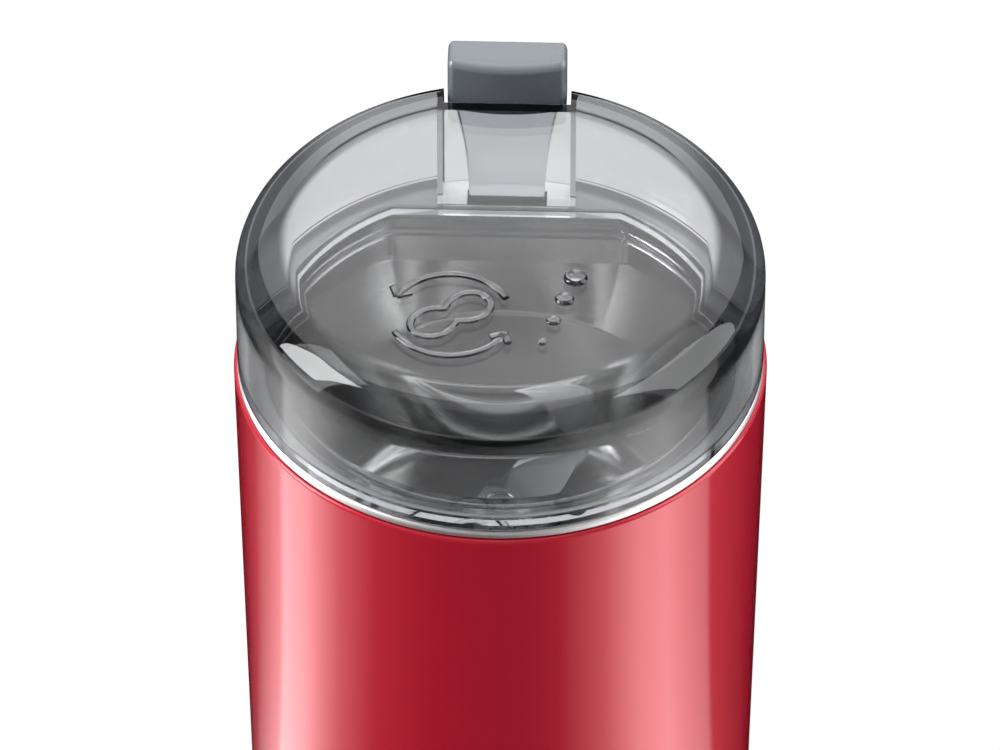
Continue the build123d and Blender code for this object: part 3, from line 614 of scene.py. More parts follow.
def new_piece(name: str, mesh: bpy.types.Mesh) -> bpy.types.Object:
    """Puts a mesh in the scene at the origin.

    Args:
        name: The piece's name.
        mesh: Its mesh.

    Returns:
        The new object.
    """
    piece = bpy.data.objects.new(name, mesh)
    bpy.context.scene.collection.objects.link(piece)
    return piece


def from_points(
    name: str, points: Sequence[Place], edges: Sequence[tuple[int, int]], faces: Sequence[Sequence[int]]
) -> bpy.types.Object:
    """Makes a piece from points with their edges or faces.

    Args:
        name: The piece's name.
        points: Its points.
        edges: Pairs of point numbers.
        faces: Rows of point numbers.

    Returns:
        The new object.
    """
    mesh = bpy.data.meshes.new(name)
    mesh.from_pydata(points, edges, faces)
    return new_piece(name, mesh)


def from_bmesh(name: str, work: bmesh.types.BMesh) -> bpy.types.Object:
    """Closes a bmesh into a piece with outward faces.

    Args:
        name: The piece's name.
        work: The mesh, freed here.

    Returns:
        The new object.
    """
    bmesh.ops.remove_doubles(work, verts=work.verts, dist=WELD)
    bmesh.ops.recalc_face_normals(work, faces=work.faces)
    mesh = bpy.data.meshes.new(name)
    work.to_mesh(mesh)
    work.free()
    return new_piece(name, mesh)


def settle(piece: bpy.types.Object) -> None:
    """Turns a piece's modifiers into its plain mesh.

    Args:
        piece: The piece.
    """
    graph = bpy.context.evaluated_depsgraph_get()
    mesh = bpy.data.meshes.new_from_object(piece.evaluated_get(graph))
    old = piece.data
    piece.modifiers.clear()
    piece.data = mesh
    bpy.data.meshes.remove(old)


def combine(piece: bpy.types.Object, other: bpy.types.Object, how: Cut) -> None:
    """Joins another solid to a piece or cuts it away.

    Args:
        piece: The piece.
        other: The other solid, removed here.
        how: Whether it is joined or cut away.
    """
    step = piece.modifiers.new("combine", "BOOLEAN")
    step.operation = how.value
    step.solver = "EXACT"
    step.object = other
    settle(piece)
    bpy.data.objects.remove(other)


def smooth(piece: bpy.types.Object, angle: float = SMOOTH_ANGLE) -> None:
    """Shades a piece smooth apart from its sharp edges, flat faces kept flat.

    Args:
        piece: The piece.
        angle: Edges sharper than this stay sharp, in radians.
    """
    for face in piece.data.polygons:
        face.use_smooth = True
    piece.data.set_sharp_from_angle(angle=angle)
    step = piece.modifiers.new("even", "WEIGHTED_NORMAL")
    step.keep_sharp = True
    settle(piece)


def circle(radius: float, steps: int) -> list[Point]:
    """Points round a circle."""
    turns = (2 * math.pi * step / steps for step in range(steps))
    return [(radius * math.cos(at), radius * math.sin(at)) for at in turns]


def bridge(work: bmesh.types.BMesh, lower: Ring, upper: Ring) -> None:
    """Closes the band between two rings of as many points.

    Args:
        work: The mesh that holds both.
        lower: The first ring.
        upper: The second ring.
    """
    for step in range(len(lower)):
        after = (step + 1) % len(lower)
        work.faces.new((lower[step], lower[after], upper[after], upper[step]))


def rounded(corners: Sequence[Corner], steps: int = 8) -> list[Point]:
    """Rounds the corners of a closed outline.

    Args:
        corners: Points with the radius of their rounding.
        steps: Pieces in each arc.

    Returns:
        The outline's points.
    """
    points: list[Point] = []
    for index, (x, y, radius) in enumerate(corners):
        here = Vector((x, y))
        if radius <= 0:
            points.append((x, y))
            continue
        before = Vector(corners[index - 1][:2]) - here
        after = Vector(corners[(index + 1) % len(corners)][:2]) - here
        half = before.angle(after) / 2
        middle = here + (before.normalized() + after.normalized()).normalized() * (radius / math.sin(half))
        start = here + before.normalized() * (radius / math.tan(half)) - middle
        turn = start.angle_signed(here + after.normalized() * (radius / math.tan(half)) - middle)
        for step in range(steps + 1):
            at = -turn * step / steps
            points.append((
                middle.x + start.x * math.cos(at) - start.y * math.sin(at),
                middle.y + start.x * math.sin(at) + start.y * math.cos(at),
            ))
    return points


@dataclass(frozen=True)
class Flat:
    """A flat across the rear of a turned wall, at y where the wall's radius is r."""

    y: float
    r: float

    def limit(self, radius: float, angle: float) -> float:
        """The wall's radius at an angle, held back by the flat.

        Args:
            radius: The round wall's radius.
            angle: The direction, in radians.

        Returns:
            The radius there.
        """
        across = self.y + max(0.0, radius - self.r)
        rear = math.sin(angle)
        return min(radius, across / rear) if rear > 0 else radius


Course = Sequence[tuple[float, float, float, Optional[Flat]]]


def lathe(
    name: str,
    outline: Sequence[Point],
    flats: Optional[Sequence[Optional[Flat]]] = None,
    segments: int = 192,
) -> bpy.types.Object:
    """Turns a closed outline of radius and height about Z.

    Args:
        name: The piece's name.
        outline: Points of radius and height.
        flats: The rear flat at each point, if any.
        segments: Sides of the turned solid.

    Returns:
        The new object.
    """
    work = bmesh.new()
    rings = []
    for index, (radius, height) in enumerate(outline):
        flat = flats[index] if flats else None
        ring = []
        for step in range(segments):
            angle = 2 * math.pi * step / segments
            reach = flat.limit(radius, angle) if flat else radius
            ring.append(work.verts.new((reach * math.cos(angle), reach * math.sin(angle), height)))
        rings.append(ring)
    for index, ring in enumerate(rings):
        after = (index + 1) % len(rings)
        if outline[index][0] > 0 or outline[after][0] > 0:
            bridge(work, ring, rings[after])
    bmesh.ops.remove_doubles(work, verts=work.verts, dist=WELD)
    bmesh.ops.dissolve_degenerate(work, edges=work.edges, dist=WELD)
    return from_bmesh(name, work)


def lathe_course(name: str, course: Course, steps: int) -> bpy.types.Object:
    """Turns a course of corners with their flats.

    Args:
        name: The piece's name.
        course: Radius, height, rounding and flat of each corner.
        steps: Pieces in each rounding.

    Returns:
        The turned solid.
    """
    flats: list[Optional[Flat]] = []
    for _, _, radius, flat in course:
        flats.extend([flat] * (steps + 1 if radius > 0 else 1))
    return lathe(name, rounded([row[:3] for row in course], steps), flats, FINE_SEGMENTS)


def prism(name: str, outline: Sequence[Place], along: Place) -> bpy.types.Object:
    """Pushes a flat outline along a direction.

    Args:
        name: The piece's name.
        outline: Points of a flat face.
        along: How far it is pushed, in metres.

    Returns:
        The new object.
    """
    work = bmesh.new()
    face = work.faces.new([work.verts.new(point) for point in outline])
    pushed = bmesh.ops.extrude_face_region(work, geom=[face])
    moved = [item for item in pushed["geom"] if isinstance(item, bmesh.types.BMVert)]
    bmesh.ops.translate(work, vec=along, verts=moved)
    return from_bmesh(name, work)


def block(name: str, low: Place, high: Place) -> bpy.types.Object:
    """Box between two corners.

    Args:
        name: The piece's name.
        low: The lower corner.
        high: The upper corner.

    Returns:
        The new object.
    """
    (left, front, bottom), (right, rear, top) = low, high
    plan = ((left, front), (right, front), (right, rear), (left, rear))
    return prism(name, [(x, y, bottom) for x, y in plan], (0.0, 0.0, top - bottom))


def stand_for(piece: bpy.types.Object, node: str, body: str, finishes: Finishes) -> None:
    """Dresses a piece, lets it ride and puts it in a node's place.

    Args:
        piece: The piece.
        node: The CAD node it stands for.
        body: The body it rides on.
        finishes: Where its material comes from.
    """
    slot = finishes.slot_of[node]
    finishes.dress(piece, slot)
    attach(piece, body)
    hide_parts(node)
    LOG.info("%s stands for %s on %s, %d faces", piece.name, node, body, len(piece.data.polygons))


def refine(node: str, body: str, finishes: Finishes) -> bpy.types.Object:
    """Stands a welded, smooth-shaded copy of a CAD node in its place.

    Args:
        node: The CAD node.
        body: The body it rides on.
        finishes: Where its material comes from.

    Returns:
        The copy.
    """
    work = bmesh.new()
    work.from_mesh(frame["nodes"][node].data)
    bmesh.ops.remove_doubles(work, verts=work.verts, dist=WELD)
    mesh = bpy.data.meshes.new(node + "_fine")
    work.to_mesh(mesh)
    work.free()
    piece = new_piece(node + "_fine", mesh)
    smooth(piece)
    stand_for(piece, node, body, finishes)
    return piece


@dataclass
class Housing:
    """Red shell, steel bowl and the small turned pieces that show."""

    finishes: Finishes
    rim_radius: float = 0.044
    base_radius: float = 0.042
    wall: float = 0.0022
    rim_round: float = 0.0006
    rim_gap: float = 0.0003
    base_round: float = 0.0006
    inlet_radius: float = 0.00505
    inlet_height: float = 0.011
    inlet_steps: int = 48
    lip_set_back: float = 0.0006
    lip_width: float = 0.0046
    lip_round: float = 0.0008
    bowl_wall: float = 0.0008
    bowl_depth: float = 0.044
    bowl_steps: int = 8
    mouth_depth: float = 0.009
    taper: float = 0.012
    mouth_step: float = 0.0058
    floor_round: float = 0.007
    bend_round: float = 0.003
    seal_radius: float = 0.00605
    slot_width: float = 0.0134
    slot_depth: float = 0.0038
    slot_middle: float = 0.03783
    flat_y: float = 0.03353
    overrun: float = 0.002

    def shell(self) -> None:
        """Builds the shell from its outline and cuts the lead inlet."""
        low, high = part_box("body_shell")
        corners = (
            (self.base_radius - self.wall, low.z, 0.0),
            (self.base_radius, low.z, self.base_round),
            (self.rim_radius, high.z - self.rim_gap, self.rim_round),
            (self.rim_radius - self.wall, high.z - self.rim_gap, 0.0),
        )
        piece = lathe("red_shell", rounded(corners))
        middle = low.z + self.inlet_height
        outline = [(x, 0.0, middle + z) for x, z in circle(self.inlet_radius, self.inlet_steps)]
        combine(piece, prism("inlet_cut", outline, (0.0, self.rim_radius + self.overrun, 0.0)), Cut.AWAY)
        smooth(piece)
        stand_for(piece, "body_shell", "housing", self.finishes)

    def bowl(self) -> None:
        """Builds the bowl with its rear flat and the slot in its lip."""
        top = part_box("grinding_bowl")[1].z
        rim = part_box("body_shell")[1].z
        lip = self.rim_radius - self.lip_set_back
        mouth = lip - self.lip_width
        chamber = mouth - self.mouth_step
        floor = rim - self.bowl_depth
        bend_top = rim - self.mouth_depth
        bend_low = bend_top - self.taper
        inner = Flat(self.flat_y, mouth)
        outer = Flat(self.flat_y + self.bowl_wall, mouth + self.bowl_wall)
        piece = lathe_course("steel_bowl", (
            (self.seal_radius, floor, 0.0, inner),
            (chamber, floor, self.floor_round, inner),
            (chamber, bend_low, self.bend_round, inner),
            (mouth, bend_top, self.bend_round, inner),
            (mouth, top, self.lip_round, inner),
            (lip, top, self.lip_round, None),
            (lip, rim, 0.0, None),
            (mouth + self.bowl_wall, rim, 0.0, outer),
            (mouth + self.bowl_wall, bend_top, self.bend_round, outer),
            (chamber + self.bowl_wall, bend_low, self.bend_round, outer),
            (chamber + self.bowl_wall, floor - self.bowl_wall, self.floor_round + self.bowl_wall, outer),
            (self.seal_radius, floor - self.bowl_wall, 0.0, outer),
        ), self.bowl_steps)
        half = self.slot_width / 2
        combine(piece, block(
            "slot_cut",
            (-half, self.slot_middle - self.slot_depth / 2, rim - self.overrun),
            (half, self.slot_middle + self.slot_depth / 2, top + self.overrun),
        ), Cut.AWAY)
        smooth(piece)
        stand_for(piece, "grinding_bowl", "housing", self.finishes)

    def build(self) -> None:
        """Builds the sub-assembly."""
        self.shell()
        self.bowl()
        for node in ("base_cover", "rubber_feet", "tie_screws", "inlet_bush", "shaft_seal"):
            refine(node, "housing", self.finishes)
        for node in ("blade_hub", "blade", "blade_nut"):
            refine(node, "rotor", self.finishes)


@dataclass
class Lid:
    """Clear lift-off cap with a rear pocket for the button."""

    finishes: Finishes
    radius: float = 0.0434
    wall: float = 0.0017
    shoulder: float = 0.007
    inner_shoulder: float = 0.0079
    round_steps: int = 14
    edge_round: float = 0.0005
    ledge: float = 0.002
    skirt_drop: float = 0.004
    skirt_radius: float = 0.0384
    skirt_wall: float = 0.0015
    skirt_flat: float = 0.03313
    pocket_half: float = 0.01065
    pocket_wall: float = 0.0009
    pocket_front: float = 0.03403
    soft_edge: float = 0.0004
    rim_edge: float = 0.00075
    edge_segments: int = 4
    overrun: float = 0.002

    def build(self) -> None:
        """Builds the cap: outer form, hollow, pocket."""
        low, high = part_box("lid")
        bottom = low.z + self.skirt_drop
        skirt = Flat(self.skirt_flat, self.skirt_radius)
        piece = lathe_course("clear_lid", (
            (0.0, low.z, 0.0, None),
            (self.skirt_radius, low.z, self.edge_round, skirt),
            (self.skirt_radius, bottom, 0.0, skirt),
            (self.radius, bottom, self.edge_round, None),
            (self.radius, high.z, self.shoulder, None),
            (0.0, high.z, 0.0, None),
        ), self.round_steps)
        inner = self.skirt_radius - self.skirt_wall
        inner_flat = Flat(self.skirt_flat - self.skirt_wall, inner)
        hollow = lathe_course("lid_hollow", (
            (0.0, low.z - self.overrun, 0.0, None),
            (inner, low.z - self.overrun, 0.0, inner_flat),
            (inner, bottom + self.ledge, 0.0, inner_flat),
            (self.radius - self.wall, bottom + self.ledge, self.edge_round, None),
            (self.radius - self.wall, high.z - self.wall, self.inner_shoulder, None),
            (0.0, high.z - self.wall, 0.0, None),
        ), self.round_steps)
        side = self.pocket_half + self.pocket_wall
        combine(hollow, block(
            "pocket_wall",
            (-side, self.pocket_front - self.pocket_wall, low.z - 2 * self.overrun),
            (side, 2 * self.radius, high.z),
        ), Cut.AWAY)
        combine(piece, hollow, Cut.AWAY)
        combine(piece, block(
            "pocket",
            (-self.pocket_half, self.pocket_front, low.z - self.overrun),
            (self.pocket_half, 2 * self.radius, high.z + self.overrun),
        ), Cut.AWAY)
        self._round_edges(piece, high.z)
        smooth(piece)
        stand_for(piece, "lid", "lid", self.finishes)

    def _round_edges(self, piece: bpy.types.Object, top: float) -> None:
        """Rounds the lid's sharp edges, most of all the upper rim of the pocket.

        Args:
            piece: The lid.
            top: Height of its top face.
        """
        work = bmesh.new()
        work.from_mesh(piece.data)
        weights = work.edges.layers.float.new("bevel_weight_edge")
        reach = self.pocket_front - self.pocket_wall - WELD
        for edge in work.edges:
            if not edge.is_manifold or edge.calc_face_angle() < SHARP_ANGLE:
                continue
            upper = all(vert.co.z > top - WELD and vert.co.y > reach for vert in edge.verts)
            edge[weights] = 1.0 if upper else self.soft_edge / self.rim_edge
        work.to_mesh(piece.data)
        work.free()
        step = piece.modifiers.new("edge", "BEVEL")
        step.width = self.rim_edge
        step.segments = self.edge_segments
        step.limit_method = "WEIGHT"
        settle(piece)


@dataclass
class PushButton:
    """Bowed cap pressed on a milky stem that is drawn in and ends in a foot."""

    finishes: Finishes
    cap_depth: float = 0.0075
    cap_width: float = 0.0198
    bow: float = 0.0015
    bow_steps: int = 12
    corner: float = 0.0016
    rear_corner: float = 0.0010
    edge: float = 0.0007
    front_edge: float = 0.0022
    roll: float = 0.0014
    roll_steps: int = 8
    tenon_width: float = 0.011
    fit_gap: float = 0.00005
    stem_thickness: float = 0.0032
    stem_set_back: float = 0.0016
    stem_top: float = 0.017
    stem_width: float = 0.0125
    stem_steps: int = 12
    waist: float = 0.0006
    foot_width: float = 0.010
    foot_thickness: float = 0.003
    soft_edge: float = 0.0003
    soft_angle: float = 0.7
    soft_segments: int = 3
    travel: float = 0.004

    def _ring(self, front: float, sides_in: float, front_in: float) -> list[Point]:
        """Plan outline of the cap, drawn in by its rounding.

        Args:
            front: The cap's foremost y.
            sides_in: How far sides and rear are drawn in.
            front_in: How far the front is drawn in.

        Returns:
            The outline's points, as many for any rounding.
        """
        half = self.cap_width / 2 - sides_in
        corners: list[Corner] = []
        for step in range(self.bow_steps + 1):
            share = 2 * step / self.bow_steps - 1
            corner = self.corner - sides_in if step in (0, self.bow_steps) else 0.0
            corners.append((half * share, front + front_in + self.bow * share**2, corner))
        rear = front + self.cap_depth - sides_in
        corners.extend((x, rear, self.rear_corner - sides_in) for x in (half, -half))
        return rounded(corners)

    def cap(self, front: float, low: float, high: float) -> bpy.types.Object:
        """Builds the cap with a bowed front that rolls over into its top.

        Args:
            front: Its foremost y.
            low: Its lower height.
            high: Its upper height.

        Returns:
            The cap.
        """
        work = bmesh.new()
        levels = [(low, self.edge / 2, self.edge / 2), (low + self.edge / 2, 0.0, 0.0)]
        for step in range(self.roll_steps + 1):
            at = math.pi / 2 * step / self.roll_steps
            drop = self.roll * (1 - math.sin(at))
            share = 1 - math.cos(at)
            levels.append((high - drop, self.edge * share, self.front_edge * share))
        rings = [
            [work.verts.new((x, y, height)) for x, y in self._ring(front, sides_in, front_in)]
            for height, sides_in, front_in in levels
        ]
        for lower, upper in zip(rings, rings[1:]):
            bridge(work, lower, upper)
        work.faces.new(rings[0])
        work.faces.new(rings[-1])
        return from_bmesh("grey_button", work)

    def stem(self, front: float, foot: float, rim: float, top: float) -> bpy.types.Object:
        """Builds the stem, drawn in between cap and rim.

        Args:
            front: Its front face's y.
            foot: Height of its lower end.
            rim: Height where its width gets steady.
            top: Height of the cap's underside.

        Returns:
            The stem.
        """
        right = [(self.stem_width / 2, foot)]
        for step in range(self.stem_steps + 1):
            share = step / self.stem_steps
            wide = self.stem_width + (self.stem_top - self.stem_width) * share
            right.append((wide / 2 - self.waist * math.sin(math.pi * share), rim + (top - rim) * share))
        outline = [(x, front, z) for x, z in right] + [(-x, front, z) for x, z in reversed(right)]
        piece = prism("milky_stem", outline, (0.0, self.stem_thickness, 0.0))
        step = piece.modifiers.new("soften", "BEVEL")
        step.width = self.soft_edge
        step.segments = self.soft_segments
        step.limit_method = "ANGLE"
        step.angle_limit = self.soft_angle
        settle(piece)
        return piece

    def build(self) -> None:
        """Builds the cap, the stem that carries it and the spring below."""
        cap_low, cap_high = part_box("push_button")
        low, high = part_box("button_stem")
        front = cap_high.y - self.cap_depth
        stem_front = front + self.stem_set_back
        stem_rear = stem_front + self.stem_thickness
        half = self.tenon_width / 2
        cap = self.cap(front, cap_low.z, cap_high.z)
        combine(cap, block(
            "socket",
            (-half - self.fit_gap, stem_front - self.fit_gap, cap_low.z - self.edge),
            (half + self.fit_gap, stem_rear + self.fit_gap, high.z + self.fit_gap),
        ), Cut.AWAY)
        smooth(cap)
        stand_for(cap, "push_button", "button", self.finishes)
        stem = self.stem(stem_front, low.z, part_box("body_shell")[1].z, cap_low.z)
        combine(stem, block(
            "tenon",
            (-half, stem_front, cap_low.z - self.edge),
            (half, stem_rear, high.z),
        ), Cut.JOIN)
        combine(stem, block(
            "foot",
            (-self.foot_width / 2, low.y, low.z),
            (self.foot_width / 2, stem_rear - self.soft_edge, low.z + self.foot_thickness),
        ), Cut.JOIN)
        smooth(stem)
        stand_for(stem, "button_stem", "button", self.finishes)
        self.spring()

    def spring(self) -> None:
        """Stands the return spring under the stem and gives it a mesh of its own."""
        piece = refine("return_spring", "housing", self.finishes)
        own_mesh(piece)


class NodeField(NodeTree):
    """Builds one tree that makes geometry and runs it on a piece."""

    def __init__(self, name: str) -> None:
        """Starts a tree with a geometry input and output.

        Args:
            name: The tree's name.
        """
        super().__init__(bpy.data.node_groups.new(name, "GeometryNodeTree"))
        for way in ("INPUT", "OUTPUT"):
            self.tree.interface.new_socket("Geometry", in_out=way, socket_type="NodeSocketGeometry")
        self.start = self.add("NodeGroupInput")
        self.keys: dict[str, str] = {}

    def given(self, name: str, kind: str = "NodeSocketFloat") -> Wire:
        """Adds a named input.

        Args:
            name: The input's name.
            kind: Its socket's type.

        Returns:
            The input's socket inside the tree.
        """
        made = self.tree.interface.new_socket(name, in_out="INPUT", socket_type=kind)
        self.keys[name] = made.identifier
        return Wire(self, self.start.outputs[name])

    def curve(self) -> Wire:
        """The given edges as curves."""
        edges = Wire(self, self.start.outputs["Geometry"])
        return self.node("GeometryNodeMeshToCurve", None, {"Mesh": edges})

    def stretched(self, geometry: Wire, x: Number = 1.0, z: Number = 1.0) -> Wire:
        """Geometry stretched along X and Z."""
        scale = self.node("ShaderNodeCombineXYZ", None, {"X": x, "Y": 1.0, "Z": z})
        return self.node("GeometryNodeTransform", None, {"Geometry": geometry, "Scale": scale})

    def close(self, geometry: Wire) -> None:
        """Realizes instances, gives the material by an input of its own and ends the tree.

        Args:
            geometry: What the tree has made.
        """
        material = self.given("Material", "NodeSocketMaterial")
        whole = self.node("GeometryNodeRealizeInstances", None, {"Geometry": geometry})
        dressed = self.node("GeometryNodeSetMaterial", None, {"Geometry": whole, "Material": material})
        self.add("NodeGroupOutput", None, {"Geometry": dressed})

    def run(self, piece: bpy.types.Object, values: Mapping[str, object]) -> None:
        """Runs the tree on a piece and keeps the plain result.

        Args:
            piece: The piece that holds the edges.
            values: The named inputs' values.
        """
        step = piece.modifiers.new(self.tree.name, "NODES")
        step.node_group = self.tree
        for name, value in values.items():
            step[self.keys[name]] = value
        settle(piece)


@dataclass
class LidRelief:
    """Raised sign on the lid's top: a turning blade in a broken ring, and dots from fine to coarse."""

    finishes: Finishes
    middle: Point = (-0.0075, -0.0185)
    ring_radius: float = 0.0098
    ring_sweep: float = math.radians(128)
    ring_start: float = math.radians(26)
    line_steps: int = 32
    barb: float = 0.0024
    barb_lean: float = 0.75
    wing: float = 0.0072
    wing_tilt: float = math.radians(35)
    waist_share: float = 0.26
    stroke: float = 0.0008
    stroke_sides: int = 12
    rise: float = 0.0007
    dots_from: Point = (0.0075, -0.0245)
    dots_to: Point = (0.0125, -0.009)
    dot_count: int = 4
    dot_radius: float = 0.0009
    dot_sides: int = 24
    dot_rings: int = 12
    dot_growth: float = 0.42
    dot_flatness: float = 0.45
    smooth_angle: float = math.radians(60)

    def lines(self) -> list[list[Point]]:
        """Plan lines of the sign.

        Returns:
            The lines, each from its first point to its last.
        """
        x, y = self.middle
        found = []
        for turn in (0.0, math.pi):
            first = turn + self.ring_start
            turns = [first + self.ring_sweep * step / self.line_steps for step in range(self.line_steps + 1)]
            arc = [(x + self.ring_radius * math.cos(at), y + self.ring_radius * math.sin(at)) for at in turns]
            tip = arc[-1]
            for lean in (self.barb_lean, -self.barb_lean):
                back = first + self.ring_sweep + math.pi * 3 / 2 + lean
                end = (tip[0] + self.barb * math.cos(back), tip[1] + self.barb * math.sin(back))
                found.append([tip, end])
            found.append(arc)
        blade = []
        for step in range(2 * self.line_steps + 1):
            at = math.pi * step / self.line_steps
            reach = self.wing * (self.waist_share + (1 - self.waist_share) * math.cos(at) ** 2)
            turn = at + self.wing_tilt
            blade.append((x + reach * math.cos(turn), y + reach * math.sin(turn)))
        found.append(blade)
        return found

    def stroke_tree(self) -> NodeField:
        """Builds the tree that turns lines into raised strokes.

        Returns:
            The tree, with its inputs Stroke, Rise Share and Material.
        """
        field = NodeField("raised_strokes")
        size = {"Resolution": self.stroke_sides, "Radius": field.given("Stroke")}
        profile = field.node("GeometryNodeCurvePrimitiveCircle", None, size)
        field.close(field.node("GeometryNodeCurveToMesh", None, {
            "Curve": field.curve(),
            "Profile Curve": field.stretched(profile, x=field.given("Rise Share")),
            "Fill Caps": True,
        }))
        return field

    def dot_tree(self) -> NodeField:
        """Builds the tree that sets dots of growing size along a line.

        Returns:
            The tree, with its inputs Count, Radius, Growth, Flatness and Material.
        """
        field = NodeField("growing_dots")
        count = field.given("Count", "NodeSocketInt")
        size = {"Segments": self.dot_sides, "Rings": self.dot_rings, "Radius": field.given("Radius")}
        dot = field.node("GeometryNodeMeshUVSphere", None, size)
        field.close(field.node("GeometryNodeInstanceOnPoints", None, {
            "Points": field.node("GeometryNodeResampleCurve", None, {"Curve": field.curve(), "Count": count}),
            "Instance": field.stretched(dot, z=field.given("Flatness")),
            "Scale": field.node("GeometryNodeInputIndex") * field.given("Growth") + 1.0,
        }))
        return field

    def build(self) -> None:
        """Builds the raised sign and lets it ride on the lid."""
        material = self.finishes.of("clear_plastic")
        strokes = self._lines_piece("lid_sign", self.lines())
        self.stroke_tree().run(strokes, {
            "Stroke": self.stroke / 2,
            "Rise Share": 2 * self.rise / self.stroke,
            "Material": material,
        })
        dots = self._lines_piece("lid_dots", [[self.dots_from, self.dots_to]])
        self.dot_tree().run(dots, {
            "Count": self.dot_count,
            "Radius": self.dot_radius,
            "Growth": self.dot_growth,
            "Flatness": self.dot_flatness,
            "Material": material,
        })
        for piece in (strokes, dots):
            smooth(piece, self.smooth_angle)
            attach(piece, "lid")
            LOG.info("%s on lid, %d faces", piece.name, len(piece.data.polygons))

    @staticmethod
    def _lines_piece(name: str, lines: Sequence[Sequence[Point]]) -> bpy.types.Object:
        """Piece that holds plan lines as edges on the lid's top.

        Args:
            name: The piece's name.
            lines: The plan lines.

        Returns:
            The new object.
        """
        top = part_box("lid")[1].z
        points: list[Place] = []
        edges: list[tuple[int, int]] = []
        for line in lines:
            first = len(points)
            points.extend((x, y, top) for x, y in line)
            edges.extend((first + step, first + step + 1) for step in range(len(line) - 1))
        return from_points(name, points, edges, [])


@dataclass(frozen=True)
class Softbox:
    """A soft lamp, with its size in metres and its power in watts."""

    name: str
    place: Place
    size: Point
    power: float

    def hang(self, aim: Vector) -> None:
        """Hangs the lamp so that it faces a place.

        Args:
            aim: The place it faces.
        """
        data = bpy.data.lights.new(self.name, "AREA")
        data.shape = "RECTANGLE"
        data.size, data.size_y = self.size
        data.energy = self.power
        piece = bpy.data.objects.new(self.name, data)
        piece.location = self.place
        piece.rotation_euler = (aim - Vector(self.place)).to_track_quat("-Z", "Y").to_euler()
        bpy.context.scene.collection.objects.link(piece)


SOFTBOXES = (
    Softbox("left_softbox", (-1.0, -0.1, 0.7), (0.45, 0.85), 13.0),
    Softbox("right_softbox", (1.0, 0.0, 0.7), (0.8, 1.2), 10.0),
    Softbox("top_softbox", (0.0, 0.75, 1.35), (2.4, 1.6), 19.0),
)

# Light level of the reflection sheet by direction in degrees, from the front round by the right.
STRIPS: Sequence[Point] = (
    (0, 0.0), (24, 0.015), (42, 0.34), (57, 0.92), (70, 1.0), (80, 0.6), (93, 0.3), (95, 0.02), (125, 0.0),
    (226, 0.0), (240, 0.02), (252, 0.2), (261, 0.45), (264, 1.0), (277, 1.0), (296, 0.28), (312, 0.03),
    (335, 0.0),
)


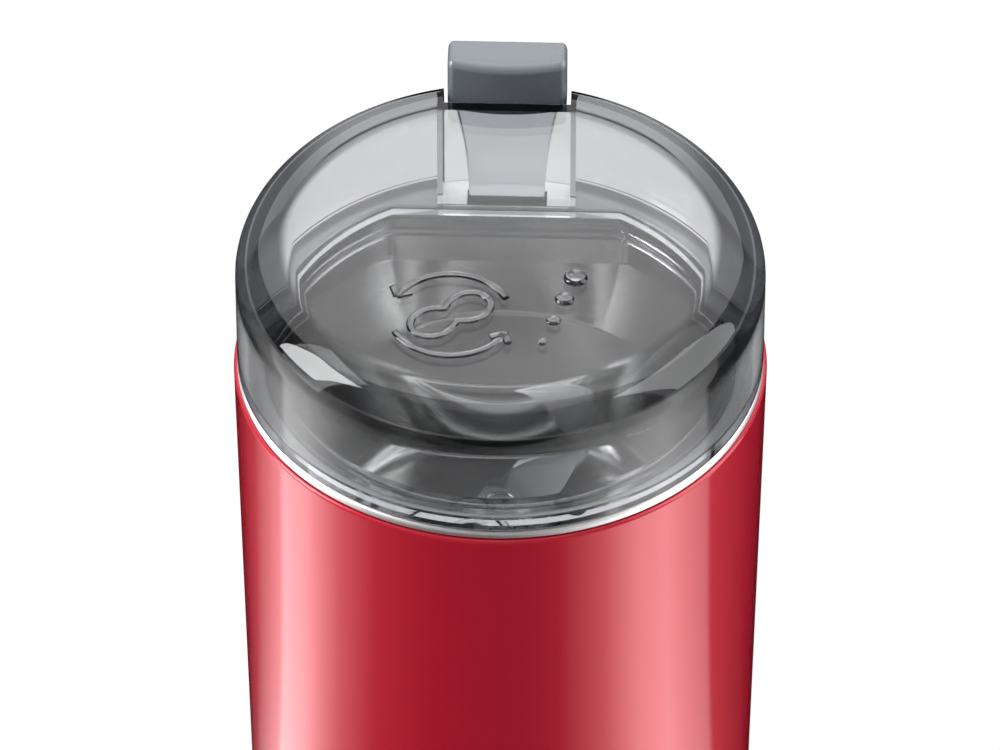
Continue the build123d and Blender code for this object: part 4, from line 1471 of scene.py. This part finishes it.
@dataclass
class Studio:
    """Pale floor, soft lamps, what the object mirrors, and the camera."""

    rim_height: float
    elevation: float = math.radians(42.37)
    azimuth: float = math.radians(1.73)
    distance: float = 1.5
    lens: float = 327.3
    sensor: float = 36.0
    sight: float = 50.0
    shift_x: float = -0.0004
    shift_y: float = -0.0177
    floor_size: float = 6.0
    floor_color: Color = (0.8, 0.8, 0.8, 1.0)
    white_share: float = 0.9
    sheet_radius: float = 1.5
    sheet_steps: int = 96
    sheet_lift: float = 0.0005
    sheet_turn: Place = (0.0, 0.0, math.radians(-90))
    sheet_strength: float = 2.9
    canopy_radius: float = 2.5
    canopy_columns: int = 48
    canopy_rows: int = 12
    canopy_from: float = math.radians(4)
    canopy_top: float = math.radians(62)
    canopy_fade: float = math.radians(12)
    canopy_color: Color = (0.17, 0.17, 0.18, 1.0)
    ambient: float = 0.32

    def aim(self) -> Vector:
        """The middle of the shell's rim, which camera and lamps face."""
        return Vector((0.0, 0.0, self.rim_height))

    def camera(self) -> None:
        """Sets the camera at the photograph's angle."""
        data = bpy.data.cameras.new("camera")
        data.lens = self.lens
        data.sensor_width = self.sensor
        data.shift_x = self.shift_x
        data.shift_y = self.shift_y
        data.clip_end = self.sight
        piece = bpy.data.objects.new("camera", data)
        level = math.cos(self.elevation)
        away = Vector((
            level * math.sin(self.azimuth),
            -level * math.cos(self.azimuth),
            math.sin(self.elevation),
        ))
        piece.location = self.aim() + away * self.distance
        piece.rotation_euler = (-away).to_track_quat("-Z", "Y").to_euler()
        bpy.context.scene.collection.objects.link(piece)
        bpy.context.scene.camera = piece

    def floor(self) -> None:
        """Lays the pale floor, which looks white and keeps a faint shadow."""
        half = self.floor_size / 2
        corners = [(-half, -half, 0.0), (half, -half, 0.0), (half, half, 0.0), (-half, half, 0.0)]
        piece = from_points("floor", corners, [], [(0, 1, 2, 3)])
        paint = Paint("pale_floor")
        lit = paint.node("ShaderNodeBsdfDiffuse", None, {"Color": self.floor_color})
        share = paint.seen_rays() * self.white_share
        both = paint.node("ShaderNodeMixShader", None, {0: share, 1: lit, 2: paint.glow(WHITE)})
        piece.data.materials.append(paint.surface(both))

    def sheet(self) -> None:
        """Lays a dark sheet with light strips round the object, seen only in reflections."""
        points = [(x, y, self.sheet_lift) for x, y in circle(self.sheet_radius, self.sheet_steps)]
        piece = from_points("reflection_sheet", points, [], [range(self.sheet_steps)])
        paint = Paint("light_strips")
        at = paint.node("ShaderNodeTexCoord", output="Object")
        turned = paint.node("ShaderNodeMapping", None, {"Vector": at, "Rotation": self.sheet_turn})
        around = paint.node("ShaderNodeTexGradient", {"gradient_type": "RADIAL"}, {"Vector": turned}, "Fac")
        level = paint.ramp(around, [(angle / FULL_TURN, level) for angle, level in STRIPS])
        piece.data.materials.append(paint.surface(paint.glow(level, self.sheet_strength)))
        self._mirror_only(piece)

    def canopy(self) -> None:
        """Hangs a dim canopy over the table, seen in mirrors and in the lid's edges, as in a dark room."""
        work = bmesh.new()
        rings = []
        for row in range(self.canopy_rows):
            tilt = self.canopy_from + (math.pi / 2 - self.canopy_from) * row / self.canopy_rows
            height = self.canopy_radius * math.sin(tilt)
            plan = circle(self.canopy_radius * math.cos(tilt), self.canopy_columns)
            rings.append([work.verts.new((x, y, height)) for x, y in plan])
        for lower, upper in zip(rings, rings[1:]):
            bridge(work, lower, upper)
        work.faces.new(rings[-1])
        piece = from_bmesh("canopy", work)
        paint = Paint("dim_canopy")
        tilts = (self.canopy_top, self.canopy_top + self.canopy_fade)
        limits = (self.canopy_radius * math.sin(tilt) for tilt in tilts)
        top = paint.between(paint.part(paint.place(), "Z"), *limits)
        piece.data.materials.append(paint.surface(paint.glow(paint.mix(top, self.canopy_color, WHITE))))
        self._mirror_only(piece)
        piece.visible_transmission = True

    @staticmethod
    def _mirror_only(piece: bpy.types.Object) -> None:
        """Lets only mirror rays see a piece.

        Args:
            piece: The piece.
        """
        piece.visible_camera = False
        piece.visible_diffuse = False
        piece.visible_transmission = False
        piece.visible_shadow = False

    def world(self) -> None:
        """White surroundings for what is seen, softer light for what is lit."""
        world = bpy.data.worlds.new("surroundings")
        world.use_nodes = True
        nodes = NodeTree(world.node_tree)
        level = self.ambient + (1.0 - self.ambient) * nodes.seen_rays()
        white = nodes.node("ShaderNodeBackground", None, {"Color": WHITE, "Strength": level})
        nodes.add("ShaderNodeOutputWorld", None, {"Surface": white})
        bpy.context.scene.world = world

    def build(self) -> None:
        """Sets the whole studio."""
        self.camera()
        self.floor()
        self.sheet()
        self.canopy()
        for softbox in SOFTBOXES:
            softbox.hang(self.aim())
        self.world()
        bpy.context.scene.view_settings.view_transform = "Standard"


def main() -> None:
    """Builds every sub-assembly in order, then the studio."""
    logging.basicConfig(level=logging.INFO, format="%(name)s: %(message)s")
    finishes = Finishes()
    finishes.dress_cad()
    for assembly in (Housing(finishes), Lid(finishes), PushButton(finishes), LidRelief(finishes)):
        assembly.build()
    Studio(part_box("body_shell")[1].z).build()


if __name__ == "__main__":
    main()
